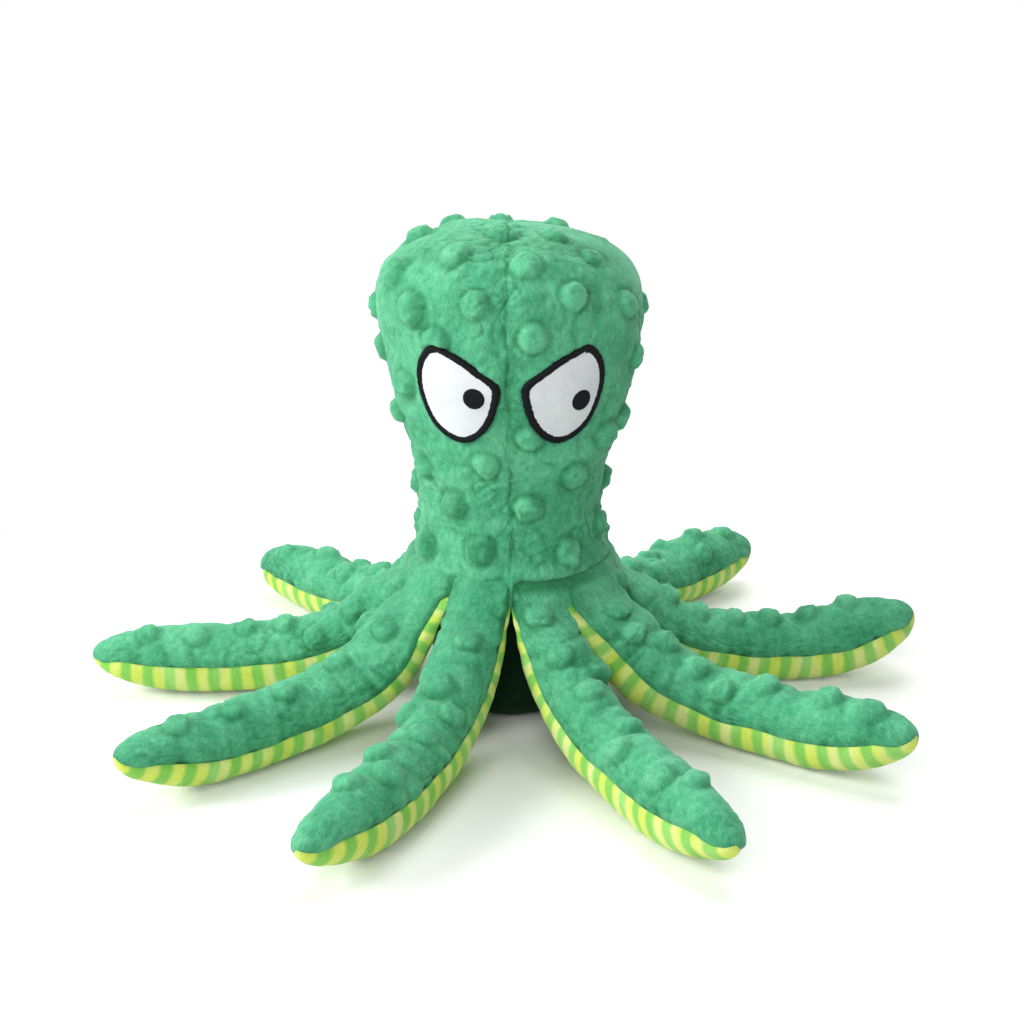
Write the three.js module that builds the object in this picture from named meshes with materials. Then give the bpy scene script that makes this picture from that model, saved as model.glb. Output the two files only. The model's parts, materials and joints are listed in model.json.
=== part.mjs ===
// Plush octopus: a stuffed head that nods on its base, and eight stuffed arms round the waist seam.
// Millimetres, +Z up, origin at the centre of the flat base, the face towards -Y.
import * as THREE from 'three';
import { mergeVertices } from 'three/addons/utils/BufferGeometryUtils.js';

// Cloth and fits
const clothThickness = 1.2;
const seamGap = 0.3; // left between pieces that are sewn together or rest on each other
const nodClearance = 0.6; // between the ball of the head and the bowl of cloth that holds it

// Head, from the waist seam up
const waistHeight = 56;
const waistRadius = 35.5;
const neckRise = 18;
const neckRadius = 33.6;
const browRise = 95;
const browRadius = 46.7;
const crownRise = 25.5;
const crownSquareness = 2.4; // 2 is an ellipse, more is fuller at the shoulder
const pivotRise = 8; // centre of the nod above the waist seam
const collarDrop = 2; // the base cloth ends this far below the pivot

// Base
const baseFlatRadius = 17;
const baseBulgeRadius = 29.8;
const baseBulgeHeight = 16;
const baseNeckRadius = 27.6;
const baseNeckRise = 18;
const fillingRimWidth = 1.5;

// Arms
const armLength = 143;
const armWidth = 26.5;
const armThickness = 25.4;
const armRootWidth = 21;
const armTipRun = 48; // length over which the tip rounds off
const armTopRun = 28; // length over which the upper side fills out from the seam
const armUnderRun = 42; // the same for the under side
const armWidthRun = 32; // the same for the width
const armTurnRun = 25; // length over which an arm turns away from square to the seam
const armBend = 1.9; // how fast the drop from the seam eases into lying flat
const armPitch = 40; // degrees between neighbours

// How each arm lies: heading in degrees along it is lean + sweep * u + curl * u * u, for u from 0 to 1,
// and its tip is lifted by a share of the arm's thickness. Arm 1 is in front on the right, and they
// go round anticlockwise seen from above, with the wide gap between arms 4 and 5 at the back.
const arms = [
  { place: 0.5, lean: 4, sweep: 22.5, curl: -27.5, liftShare: 0.23 },
  { place: 1.5, lean: 1.5, sweep: 16.5, curl: -35.5, liftShare: 0.43 },
  { place: 2.5, lean: -1.5, sweep: -2.5, curl: -6, liftShare: 0.58 },
  { place: 3.5, lean: 10, sweep: 5, curl: -43.5, liftShare: 0.24 },
  { place: -3.5, lean: 4, sweep: 15.5, curl: -16.5, liftShare: 0 },
  { place: -2.5, lean: 6, sweep: 23.5, curl: -16, liftShare: 0.13 },
  { place: -1.5, lean: -3, sweep: 27, curl: -10.5, liftShare: 0.32 },
  { place: -0.5, lean: 0, sweep: 3, curl: -16, liftShare: 0.2 },
];

// Eyes, measured round the head from the front seam and up from the waist seam
const eyeInset = 3.3;
const eyeWidth = 30.2;
const eyeRise = 52.6;
const eyeHeight = 33;
const rimWidth = 2.1;
const patchThickness = 0.8;
const rimThickness = 1.4;
const pupilRadius = 3.6;
const pupilThickness = 0.5;
// Outline of an eye from its inner corner round the bottom, the outer side and the slanting brow edge,
// as shares of its width and height
const eyeOutlineShares = [
  [0, 0.64], [0.01, 0.5], [0.09, 0.25], [0.26, 0.08], [0.49, 0], [0.74, 0.07], [0.92, 0.24], [1, 0.55],
  [0.94, 0.82], [0.76, 1], [0.55, 0.955], [0.37, 0.88], [0.22, 0.78],
];
const eyeCentreShares = [0.52, 0.47];
const pupilShares = { left: [0.29, 0.5], right: [0.69, 0.45] }; // both look towards +X

// Squeaker
const squeakerRadius = 17;
const squeakerHeight = 24;
const squeakerWall = 1.2;
const squeakerNeckRadius = 4.5;
const squeakerNeckLength = 4;
const reedFlange = 1.5;
const squeakerRise = 40; // its lower end above the waist seam
const airChannelRadius = 3;

// Facets: how many steps each round or long shape is drawn in
const roundSteps = 32;
const sideSteps = 8;
const crownSteps = 6;
const ballSteps = 7;
const bowlSteps = 5;
const baseSteps = 4;
const armLineSteps = 400;
const armBodySteps = 7;
const armTipSteps = 5;
const armHalfSteps = 5;
const armCrowding = 1.15; // above 1, steps along an arm are closer together near the seam
const eyeSteps = 32;
const pupilSteps = 16;
const patchSteps = 3;
const bulbSteps = 8;
const bulbRoundSteps = 20;
const reedRoundSteps = 16;

// Sizes that follow
const pivotHeight = waistHeight + pivotRise;
const ballRadius = headRadiusAt(pivotHeight);
const bowlInnerRadius = ballRadius + nodClearance;
const bowlOuterRadius = bowlInnerRadius + clothThickness;
const collarTop = pivotHeight - collarDrop;
const rootHalfThickness = clothThickness + seamGap / 2;
const armRootRadius = Math.sqrt(bowlOuterRadius ** 2 - pivotRise ** 2) + seamGap + rootHalfThickness;
const fillingInset = clothThickness + seamGap;

const finishes = {
  pile: { color: '#4bb482', roughness: 0.95, metalness: 0 },
  stripes: { color: '#b4d957', roughness: 0.9, metalness: 0 },
  filling: { color: '#f0eee6', roughness: 1, metalness: 0 },
  white: { color: '#f5f6f6', roughness: 0.8, metalness: 0 },
  thread: { color: '#15171a', roughness: 0.55, metalness: 0 },
  rubber: { color: '#e6e1d2', roughness: 0.5, metalness: 0 },
  plastic: { color: '#fafafa', roughness: 0.4, metalness: 0 },
};

function ease(from, to, share) {
  const t = Math.min(Math.max(share, 0), 1);
  return from + (to - from) * (1 - Math.cos(Math.PI * t)) / 2;
}

function headRadiusAt(height) {
  const rise = height - waistHeight;
  if (rise < neckRise) return ease(waistRadius, neckRadius, rise / neckRise);
  if (rise < browRise) return ease(neckRadius, browRadius, (rise - neckRise) / (browRise - neckRise));
  const share = Math.min((rise - browRise) / crownRise, 1);
  return browRadius * (1 - share ** crownSquareness) ** (1 / crownSquareness);
}

// A closed body from a triangle list: shared corners, no slivers of no area, faces pointing out
function closedBody(geometry) {
  for (const name of ['normal', 'uv']) geometry.deleteAttribute(name);
  const merged = mergeVertices(geometry);
  const index = Array.from(merged.index.array);
  const kept = [];
  for (let i = 0; i < index.length; i += 3) {
    const [a, b, c] = index.slice(i, i + 3);
    if (a !== b && b !== c && c !== a) kept.push([a, b, c]);
  }
  const corner = (i) => new THREE.Vector3().fromBufferAttribute(merged.attributes.position, i);
  const volume = kept.reduce((sum, [a, b, c]) => sum + corner(a).dot(corner(b).cross(corner(c))), 0);
  merged.setIndex(kept.flatMap(([a, b, c]) => (volume > 0 ? [a, b, c] : [a, c, b])));
  merged.computeVertexNormals();
  return merged;
}

// A skin through loops of points with the same count. Without a return to the first loop its two ends
// are closed by strips across them, which vanish where a loop is a single point.
function loft(loops, returns = false) {
  const count = loops[0].length;
  const positions = loops.flat().flatMap((point) => point.toArray());
  const index = [];
  const quad = (a, b, c, d) => index.push(a, b, c, a, c, d);
  const pairs = returns ? loops.length : loops.length - 1;
  for (let row = 0; row < pairs; row += 1) {
    const near = row * count;
    const far = ((row + 1) % loops.length) * count;
    for (let i = 0; i < count; i += 1) {
      const next = (i + 1) % count;
      quad(near + i, near + next, far + next, far + i);
    }
  }
  if (!returns) {
    const last = (loops.length - 1) * count;
    for (let i = 0; i < count / 2 - 1; i += 1) {
      const across = count - 1 - i;
      quad(i, across, across - 1, i + 1);
      quad(last + i, last + i + 1, last + across - 1, last + across);
    }
  }
  const geometry = new THREE.BufferGeometry();
  geometry.setAttribute('position', new THREE.Float32BufferAttribute(positions, 3));
  geometry.setIndex(index);
  return closedBody(geometry);
}

// A body of revolution about Z from [radius, height] points
function turned(outline, count = roundSteps) {
  const profile = outline.map(([radius, height]) => new THREE.Vector2(radius, height));
  const geometry = new THREE.LatheGeometry(profile, count);
  geometry.rotateX(Math.PI / 2);
  return closedBody(geometry);
}

function piece(name, geometry, finish) {
  const mesh = new THREE.Mesh(geometry, new THREE.MeshStandardMaterial(finishes[finish]));
  mesh.name = name;
  return mesh;
}

function steps(count) {
  return Array.from({ length: count + 1 }, (_, i) => i / count);
}

// Outline of the head from the pivot to the crown, drawn in by an inset
function headOutline(inset) {
  const browHeight = waistHeight + browRise;
  const side = steps(sideSteps).map((share) => {
    const height = pivotHeight + (browHeight - pivotHeight) * share;
    return [headRadiusAt(height) - inset, height];
  });
  const power = 2 / crownSquareness;
  const crown = steps(crownSteps).slice(1).map((share) => {
    const angle = share * Math.PI / 2;
    const across = share === 1 ? 0 : Math.cos(angle) ** power;
    return [(browRadius - inset) * across, browHeight + (crownRise - inset) * Math.sin(angle) ** power];
  });
  return [...side, ...crown];
}

// One quarter of the head's cloth, between two seams
function headPanel(quarter) {
  const outer = headOutline(0);
  const inner = headOutline(clothThickness);
  const angles = steps(roundSteps / 4).map((share) => (quarter + share) * Math.PI / 2);
  const onRow = ([radius, height]) => angles.map(
    (angle) => new THREE.Vector3(radius * Math.sin(angle), -radius * Math.cos(angle), height),
  );
  const loops = outer.map((point, row) => [...onRow(point), ...onRow(inner[row]).reverse()]);
  const middle = (quarter + 0.5) * Math.PI / 2;
  const geometry = loft(loops);
  geometry.translate(
    Math.sign(Math.sin(middle)) * seamGap / 2,
    -Math.sign(Math.cos(middle)) * seamGap / 2,
    0,
  );
  return geometry;
}

// Part of a ball about the pivot, from its lowest point up to a height, as [radius, height] points
function ballOutline(radius, lowestRadius, top, count) {
  const startAngle = Math.asin(Math.min(lowestRadius / radius, 1));
  const endAngle = Math.acos((pivotHeight - top) / radius);
  return steps(count).map((share) => {
    const angle = startAngle + (endAngle - startAngle) * share;
    return [radius * Math.sin(angle), pivotHeight - radius * Math.cos(angle)];
  });
}

// The head's stuffing ends below in a ball, and holds the squeaker in a pocket with an air channel
function headFilling() {
  const pocketBottom = waistHeight + squeakerRise - seamGap;
  const pocketTop = waistHeight + squeakerRise + squeakerHeight + seamGap;
  const pocketRadius = squeakerRadius + seamGap;
  const ledge = pivotHeight - seamGap;
  const outer = headOutline(fillingInset).slice(1).reverse();
  const ball = ballOutline(ballRadius, airChannelRadius, ledge, ballSteps).reverse();
  return turned([
    ...outer,
    [headRadiusAt(pivotHeight) - fillingInset, ledge],
    ...ball,
    [airChannelRadius, pocketBottom],
    [pocketRadius, pocketBottom],
    [pocketRadius, pocketTop],
    [0, pocketTop],
  ]);
}

function squeaker() {
  const bottom = waistHeight + squeakerRise;
  const neckTop = bottom + reedFlange + squeakerNeckLength;
  const middle = (neckTop + bottom + squeakerHeight) / 2;
  const halfHeight = bottom + squeakerHeight - middle;
  const neckOuter = squeakerNeckRadius + squeakerWall;
  const bulb = (inset, neck) => {
    const lowest = Math.PI - Math.asin(neck / (squeakerRadius - inset));
    return steps(bulbSteps).map((share) => [
      (squeakerRadius - inset) * Math.sin(lowest * share),
      middle + (halfHeight - inset) * Math.cos(lowest * share),
    ]);
  };
  const neckEnd = bottom + reedFlange + seamGap;
  const outer = bulb(0, neckOuter);
  const inner = bulb(squeakerWall, squeakerNeckRadius).reverse();
  const neck = [[neckOuter, neckEnd], [squeakerNeckRadius, neckEnd]];
  const shell = turned([...outer, ...neck, ...inner], bulbRoundSteps);
  const stem = squeakerNeckRadius - seamGap;
  const flangeTop = bottom + reedFlange;
  const reed = turned([
    [0, bottom], [neckOuter, bottom], [neckOuter, flangeTop],
    [stem, flangeTop], [stem, neckTop], [0, neckTop],
  ], reedRoundSteps);
  return [piece('squeaker_bulb', shell, 'rubber'), piece('squeaker_reed', reed, 'plastic')];
}

// Outline of the base from its flat rim up to the narrow place under the bowl, drawn in by an inset
function baseOutline(inset, bowlRadius) {
  const flat = baseFlatRadius - inset;
  const bulge = baseBulgeRadius - inset;
  const neck = baseNeckRadius - inset;
  const round = steps(baseSteps).map((share) => {
    const angle = share * Math.PI / 2;
    const height = inset + (baseBulgeHeight - inset) * (1 - Math.cos(angle));
    return [flat + (bulge - flat) * Math.sin(angle), height];
  });
  const side = steps(baseSteps).slice(1).map(
    (share) => [ease(bulge, neck, share), baseBulgeHeight + baseNeckRise * share],
  );
  return [...round, ...side, [neck, pivotHeight - Math.sqrt(bowlRadius ** 2 - neck ** 2)]];
}

function basePanel() {
  const outside = baseOutline(0, bowlOuterRadius);
  const inside = baseOutline(clothThickness, bowlInnerRadius);
  const bowl = (radius, neck) => ballOutline(radius, neck, collarTop, bowlSteps).slice(1);
  const bowlOutside = bowl(bowlOuterRadius, baseNeckRadius);
  const bowlInside = bowl(bowlInnerRadius, baseNeckRadius - clothThickness);
  return turned([
    [0, 0], ...outside, ...bowlOutside,
    ...bowlInside.reverse(), ...inside.reverse(), [0, clothThickness],
  ]);
}

function baseFilling() {
  const rim = baseNeckRadius - fillingInset - fillingRimWidth;
  const rimHeight = pivotHeight - Math.sqrt(bowlInnerRadius ** 2 - rim ** 2);
  const outside = baseOutline(fillingInset, bowlInnerRadius).slice(0, -1);
  const bowl = ballOutline(bowlInnerRadius, 0, rimHeight, bowlSteps);
  return turned([
    [0, fillingInset], ...outside, [baseNeckRadius - fillingInset, rimHeight], ...bowl.reverse(),
  ]);
}

// Stations along an arm: closely spaced where it bends at the root and where the tip rounds off
function armStations(inset) {
  const body = armLength - armTipRun;
  const rounding = armTipRun - inset;
  const bodyStations = steps(armBodySteps).map((share) => body * share ** armCrowding);
  const tipAngles = steps(armTipSteps).slice(1).map((share) => share * Math.PI / 2);
  const tipStations = tipAngles.map((angle) => body + rounding * Math.sin(angle));
  return [...bodyStations, ...tipStations];
}

// Points of the arm's middle line with the directions across it, from the seam to the tip
function armLine(arm) {
  const drop = waistHeight - armThickness / 2;
  const dropAngle = (share) => (Math.PI / 2) * (1 - share) ** armBend;
  const fine = steps(armLineSteps).slice(1).map((share) => share - 0.5 / armLineSteps);
  const run = drop / (fine.reduce((sum, share) => sum + Math.sin(dropAngle(share)), 0) / fine.length);
  const lift = arm.liftShare * armThickness;
  const stride = armLength / fine.length;
  const at = new THREE.Vector3();
  const points = [];
  for (const share of fine) {
    const along = share * armLength;
    const risen = along - run;
    const down = risen < 0
      ? dropAngle(along / run)
      : -Math.asin(Math.min(2 * lift * risen / (armLength - run) ** 2, 1));
    const square = ease(0, 1, along / armTurnRun);
    const turn = arm.lean + arm.sweep * share + arm.curl * share ** 2;
    const heading = THREE.MathUtils.degToRad(turn * square);
    const side = new THREE.Vector3(Math.cos(heading), Math.sin(heading), 0);
    const ahead = new THREE.Vector3(
      Math.cos(down) * Math.sin(heading), -Math.cos(down) * Math.cos(heading), -Math.sin(down),
    );
    points.push({ at: at.clone(), ahead, side, up: ahead.clone().cross(side) });
    at.addScaledVector(ahead, stride);
  }
  points.push({ ...points[points.length - 1], at: at.clone() });
  return (along) => points[Math.min(Math.round(along / stride), points.length - 1)];
}

// Half sizes of an arm's section: half width, and heights above and below the seam line
function armSection(along, inset) {
  const body = armLength - armTipRun;
  const tipShare = Math.max(along - body, 0) / (armTipRun - inset);
  const rounding = Math.sqrt(Math.max(1 - tipShare ** 2, 0));
  const full = armThickness / 2;
  return {
    width: (ease(armRootWidth, armWidth, along / armWidthRun) / 2 - inset) * rounding,
    top: (ease(rootHalfThickness, full, along / armTopRun) - inset) * rounding,
    under: (ease(rootHalfThickness, full, along / armUnderRun) - inset) * rounding,
  };
}

// Points over one side of the arm, from one seam to the other; side is 1 above and -1 below
function armHalf(place, section, side) {
  const reach = side > 0 ? section.top : section.under;
  const offset = Math.min(seamGap / 2, reach);
  return steps(armHalfSteps).map((share) => {
    const angle = share * Math.PI;
    const height = side * (offset + (reach - offset) * Math.sin(angle));
    return place.at.clone()
      .addScaledVector(place.side, section.width * Math.cos(angle))
      .addScaledVector(place.up, height);
  });
}

function armPanel(line, side) {
  const outer = armStations(0);
  const inner = armStations(clothThickness);
  const loops = outer.map((along, row) => {
    const outside = armHalf(line(along), armSection(along, 0), side);
    const inside = armHalf(line(inner[row]), armSection(inner[row], clothThickness), side);
    // The inside's facets then lean the same way as the stuffing's
    return side > 0 ? [...inside, ...outside.reverse()] : [...outside, ...inside.reverse()];
  });
  return loft(loops);
}

function armFilling(line) {
  const loops = armStations(fillingInset).slice(1).map((along) => {
    const section = armSection(along, fillingInset);
    const above = armHalf(line(along), section, 1);
    const below = armHalf(line(along), section, -1).reverse();
    return [...above, ...below];
  });
  return loft(loops);
}

function makeArm(arm, number) {
  const group = new THREE.Group();
  const azimuth = THREE.MathUtils.degToRad(arm.place * armPitch);
  group.rotation.z = azimuth;
  group.position.set(armRootRadius * Math.sin(azimuth), -armRootRadius * Math.cos(azimuth), waistHeight);
  const line = armLine(arm);
  group.add(piece(`arm_${number}_upper_panel`, armPanel(line, 1), 'pile'));
  group.add(piece(`arm_${number}_under_panel`, armPanel(line, -1), 'stripes'));
  group.add(piece(`arm_${number}_filling`, armFilling(line), 'filling'));
  return group;
}

// A point over the face: across is measured round the head from the front seam, to +X for side 1
function onFace(across, rise, lift, side) {
  const height = waistHeight + rise;
  const angle = side * across / headRadiusAt(waistHeight + eyeRise + eyeHeight / 2);
  const widening = headRadiusAt(height + seamGap) - headRadiusAt(height);
  const outward = new THREE.Vector2(seamGap, -widening).setLength(lift);
  const radius = headRadiusAt(height) + outward.x;
  return new THREE.Vector3(radius * Math.sin(angle), -radius * Math.cos(angle), height + outward.y);
}

function onEye([acrossShare, riseShare]) {
  return new THREE.Vector2(eyeInset + acrossShare * eyeWidth, eyeRise + riseShare * eyeHeight);
}

// The eye's outline, drawn in towards its middle by an inset
function eyeOutline(inset) {
  const points = eyeOutlineShares.map(onEye);
  const outline = new THREE.SplineCurve([...points, points[0]]);
  const middle = onEye(eyeCentreShares);
  return outline.getSpacedPoints(eyeSteps).slice(0, -1).map((point) => {
    const inward = middle.clone().sub(point);
    return point.clone().add(inward.setLength(inset));
  });
}

// A patch over the face between two lifts, from its outline in to its middle
function facePatch(outline, middle, low, high, side) {
  const shares = steps(patchSteps);
  const loop = (share, lift) => outline.map((point) => {
    const place = middle.clone().lerp(point, share);
    return onFace(place.x, place.y, lift, side);
  });
  const above = shares.map((share) => loop(share, high));
  const below = shares.map((share) => loop(share, low)).reverse();
  return loft([...above, ...below]);
}

function makeEye(name, side) {
  const low = seamGap;
  const high = low + patchThickness;
  const rimOuter = eyeOutline(0);
  const rimInner = eyeOutline(rimWidth);
  const rimLoop = (outline, lift) => outline.map((point) => onFace(point.x, point.y, lift, side));
  const rim = loft([
    rimLoop(rimOuter, low), rimLoop(rimOuter, low + rimThickness),
    rimLoop(rimInner, low + rimThickness), rimLoop(rimInner, low),
  ], true);
  const white = facePatch(eyeOutline(rimWidth + seamGap), onEye(eyeCentreShares), low, high, side);
  const pupilMiddle = onEye(pupilShares[name]);
  const pupilOutline = new THREE.EllipseCurve(pupilMiddle.x, pupilMiddle.y, pupilRadius, pupilRadius)
    .getSpacedPoints(pupilSteps).slice(0, -1);
  const pupilLow = high + seamGap;
  const pupil = facePatch(pupilOutline, pupilMiddle, pupilLow, pupilLow + pupilThickness, side);
  return [
    piece(`${name}_eye_white`, white, 'white'),
    piece(`${name}_eye_rim`, rim, 'thread'),
    piece(`${name}_pupil`, pupil, 'thread'),
  ];
}

function makeHead() {
  const group = new THREE.Group();
  const panels = ['head_front_right_panel', 'head_back_right_panel', 'head_back_left_panel',
    'head_front_left_panel'];
  panels.forEach((name, quarter) => group.add(piece(name, headPanel(quarter), 'pile')));
  group.add(piece('head_filling', headFilling(), 'filling'));
  group.add(...squeaker());
  group.add(...makeEye('left', -1), ...makeEye('right', 1));
  return group;
}

function makeBase() {
  const group = new THREE.Group();
  group.add(piece('base_panel', basePanel(), 'pile'));
  group.add(piece('base_filling', baseFilling(), 'filling'));
  return group;
}

const octopus = new THREE.Group();
octopus.add(makeBase(), makeHead());
arms.forEach((arm, index) => octopus.add(makeArm(arm, index + 1)));

export default octopus;
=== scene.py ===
import json
import math

import bmesh
import bpy
import numpy as np
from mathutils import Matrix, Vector


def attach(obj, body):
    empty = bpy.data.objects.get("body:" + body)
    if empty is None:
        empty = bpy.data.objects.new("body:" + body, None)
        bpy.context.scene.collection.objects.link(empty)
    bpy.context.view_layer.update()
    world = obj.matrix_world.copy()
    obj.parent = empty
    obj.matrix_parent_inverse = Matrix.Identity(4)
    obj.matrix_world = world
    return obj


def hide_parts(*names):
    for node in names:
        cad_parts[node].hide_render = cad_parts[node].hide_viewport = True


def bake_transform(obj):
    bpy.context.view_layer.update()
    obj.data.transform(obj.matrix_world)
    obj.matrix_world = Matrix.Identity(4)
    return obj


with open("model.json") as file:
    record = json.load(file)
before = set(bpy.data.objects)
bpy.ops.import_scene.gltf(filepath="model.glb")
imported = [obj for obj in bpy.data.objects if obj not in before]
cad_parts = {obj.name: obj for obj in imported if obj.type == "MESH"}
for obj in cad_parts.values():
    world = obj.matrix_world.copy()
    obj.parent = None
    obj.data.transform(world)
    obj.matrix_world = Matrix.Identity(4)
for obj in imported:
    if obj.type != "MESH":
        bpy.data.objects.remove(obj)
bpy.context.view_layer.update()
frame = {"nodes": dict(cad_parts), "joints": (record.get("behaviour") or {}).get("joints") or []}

mm = 0.001
print("frame loaded,", len(frame["nodes"]), "nodes")


# Small tools for the shapes

lumpTable = {"slopes": 256, "seed": 11, "shift": 7.31, "key": 977, "gain": 1.7}
slopeTable = np.random.RandomState(lumpTable["seed"]).normal(size=(lumpTable["slopes"], 3))
slopeTable /= np.linalg.norm(slopeTable, axis=1, keepdims=True)
hashSteps = np.array([73856093, 19349663, 83492791])


def ease(start, end, share):
    share = np.clip(share, 0, 1)
    return start + (end - start) * (1 - np.cos(np.pi * share)) / 2


def easedBetween(value, stops, results):
    # passes smoothly through the results at the stops
    low = np.clip(np.searchsorted(stops, value, side="right") - 1, 0, len(stops) - 2)
    stops, results = np.array(stops), np.array(results)
    return ease(results[low], results[low + 1], (value - stops[low]) / (stops[low + 1] - stops[low]))


def smooth(low, high, value):
    share = np.clip((value - low) / (high - low), 0, 1)
    return share * share * (3 - 2 * share)


def hill(value, middle, reach):
    # 1 at the middle, falling off on both sides
    return np.exp(-((value - middle) / reach) ** 2)


def lumps(points, size, seed):
    # soft random swellings from about -1 to 1, as wide as size; points may have any shape (..., 3)
    flat = points.reshape(-1, 3) / size + seed * lumpTable["shift"]
    cell = np.floor(flat).astype(np.int64)
    part = flat - cell
    fade = part ** 3 * (part * (part * 6 - 15) + 10)
    total = np.zeros(len(flat))
    for corner in np.ndindex(2, 2, 2):
        key = (cell + corner) @ hashSteps + seed * lumpTable["key"]
        slope = slopeTable[(key ^ (key >> 9)) & (lumpTable["slopes"] - 1)]
        near = np.where(corner, fade, 1 - fade).prod(axis=1)
        total += near * ((part - corner) * slope).sum(axis=1)
    return (total * lumpTable["gain"]).reshape(points.shape[:-1])


def layered(points, layers):
    # lumps of several sizes on each other; layers: depth, size and seed of each
    return sum(depth * lumps(points, size, seed) for depth, size, seed in layers)


def creases(points, places, look):
    # thin creases along the lines where one noise is zero, in the patches where a second one is high
    line = smooth(look["width"], 0, np.abs(lumps(points, look["size"], look["seeds"][0])))
    return line * smooth(*look["between"], lumps(places, look["patch"], look["seeds"][1]))


def gridFaces(rows, columns, first=0, turn=False):
    row, column = np.mgrid[0:rows - 1, 0:columns - 1]
    corner = first + (row * columns + column).ravel()
    faces = np.stack([corner, corner + 1, corner + columns + 1, corner + columns], axis=1)
    return faces[:, ::-1] if turn else faces


def borderFaces(rows, columns, form):
    # joins the edges of an outer grid to those of the inner grid that follows it; form says which:
    # "panel" for an open panel, "disc" for a grid of rings about a point, "ring" for a closed band
    count = rows * columns
    first, last = np.arange(columns), (rows - 1) * columns + np.arange(columns)
    if form == "panel":
        right = np.arange(1, rows) * columns + columns - 1
        left = np.arange(rows - 2, 0, -1) * columns
        edge = np.concatenate([first, right, last[-2::-1], left])
        following = np.roll(edge, -1)
    else:
        edge, following = last[1:], last[:-1]
        if form == "ring":
            edge, following = np.concatenate([edge, first[:-1]]), np.concatenate([following, first[1:]])
    return np.stack([edge, edge + count, following + count, following], axis=1)


weldGap = 2e-6      # m, points as close as this become one
bakeLayout = {      # shares of the map for baking that the two faces and the edges of a panel take
    "margin": 0.01, "outerWidth": 0.76, "innerStart": 0.83, "innerWidth": 0.16,
    "edgeStart": 0.785, "edgeEnd": 0.815, "edgeStep": 1e-3,
}


def addObject(name, points, faces, maps, attributes):
    # maps: name -> one pair per face corner; attributes: name -> one number per point
    mesh = bpy.data.meshes.new(name)
    mesh.from_pydata(points.tolist(), [], faces.tolist())
    for title, values in maps.items():
        layer = mesh.uv_layers.new(name=title)
        layer.uv.foreach_set("vector", values.astype(np.float32).ravel())
    for title, values in attributes.items():
        layer = mesh.attributes.new(title, "FLOAT", "POINT")
        layer.data.foreach_set("value", values.astype(np.float32).ravel())
    shape = bmesh.new()
    shape.from_mesh(mesh)
    bmesh.ops.remove_doubles(shape, verts=shape.verts, dist=weldGap)
    bmesh.ops.recalc_face_normals(shape, faces=shape.faces)
    shape.to_mesh(mesh)
    shape.free()
    mesh.validate()
    mesh.shade_smooth()
    piece = bpy.data.objects.new(name, mesh)
    bpy.context.scene.collection.objects.link(piece)
    return piece


def clothPiece(name, outer, inner, cloth, attributes, form="panel"):
    # a closed panel of cloth from its two faces, grids of rows x columns x 3; cloth: place on the cloth, m
    rows, columns = outer.shape[:2]
    points = np.concatenate([outer.reshape(-1, 3), inner.reshape(-1, 3)])
    edges = borderFaces(rows, columns, form)
    back = gridFaces(rows, columns, rows * columns, turn=True)
    faces = np.concatenate([gridFaces(rows, columns), back, edges])
    margin = bakeLayout["margin"]
    along, across = np.mgrid[0:1:rows * 1j, 0:1:columns * 1j]
    along = along * (1 - 2 * margin) + margin
    outerMap = np.stack([along, across * bakeLayout["outerWidth"] + margin], axis=-1).reshape(-1, 2)
    innerMap = np.stack([along, across * bakeLayout["innerWidth"] + bakeLayout["innerStart"]], axis=-1)
    bakeMap = np.concatenate([outerMap, innerMap.reshape(-1, 2)])[faces]
    strip = np.linspace(margin, 1 - margin, len(edges))
    low, high = bakeLayout["edgeStart"], bakeLayout["edgeEnd"]
    bakeMap[-len(edges):, :, 0] = strip[:, None] + np.array([0, 0, 1, 1]) * bakeLayout["edgeStep"]
    bakeMap[-len(edges):, :, 1] = np.array([low, high, high, low])
    clothMap = np.concatenate([cloth.reshape(-1, 2)] * 2)[faces]
    values = {key: np.concatenate([value.ravel()] * 2) for key, value in attributes.items()}
    return addObject(name, points, faces, {"cloth": clothMap, "OFBake": bakeMap}, values)


def gridPiece(name, points, attributes):
    # a closed body from one grid of rows x columns x 3, whose last column lies on the first
    rows, columns = points.shape[:2]
    faces = gridFaces(rows, columns)
    low, high = bakeLayout["margin"], 1 - bakeLayout["margin"]
    along, across = np.mgrid[low:high:rows * 1j, low:high:columns * 1j]
    bakeMap = np.stack([along, across], axis=-1).reshape(-1, 2)[faces]
    return addObject(name, points.reshape(-1, 3), faces, {"OFBake": bakeMap}, attributes)


def turnedPiece(name, outline, count, lift, attributes):
    # a body turned about Z from [radius, height] points; lift(points) moves each point outward
    angles = np.linspace(0, 2 * np.pi, count, endpoint=False)
    radius, height = outline[:, 0][:, None], outline[:, 1][:, None]
    points = np.stack([radius * np.sin(angles), -radius * np.cos(angles), height + 0 * angles], axis=-1)
    run = np.gradient(outline, axis=0)
    normal = np.stack([run[:, 1], -run[:, 0]], axis=1)
    normal /= np.linalg.norm(normal, axis=1, keepdims=True) + 1e-12
    outward = np.stack([normal[:, :1] * np.sin(angles), -normal[:, :1] * np.cos(angles),
                        normal[:, 1:] + 0 * angles], axis=-1)
    points = points + outward * (lift(points) * (radius > 1e-6))[..., None]
    closed = np.concatenate([points, points[:, :1]], axis=1)
    values = {title: (np.ones(closed.shape[:2]) * value).ravel() for title, value in attributes.items()}
    return gridPiece(name, closed, values)


# Materials

def newMaterial(name):
    material = bpy.data.materials.new(name)
    material.use_nodes = True
    nodes, links = material.node_tree.nodes, material.node_tree.links
    place = nodes.new("ShaderNodeTexCoord").outputs["Object"]
    return material, nodes, links, nodes["Principled BSDF"], place


def clothPlace(nodes):
    cloth = nodes.new("ShaderNodeUVMap")
    cloth.uv_map = "cloth"
    return cloth.outputs["UV"]


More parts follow.
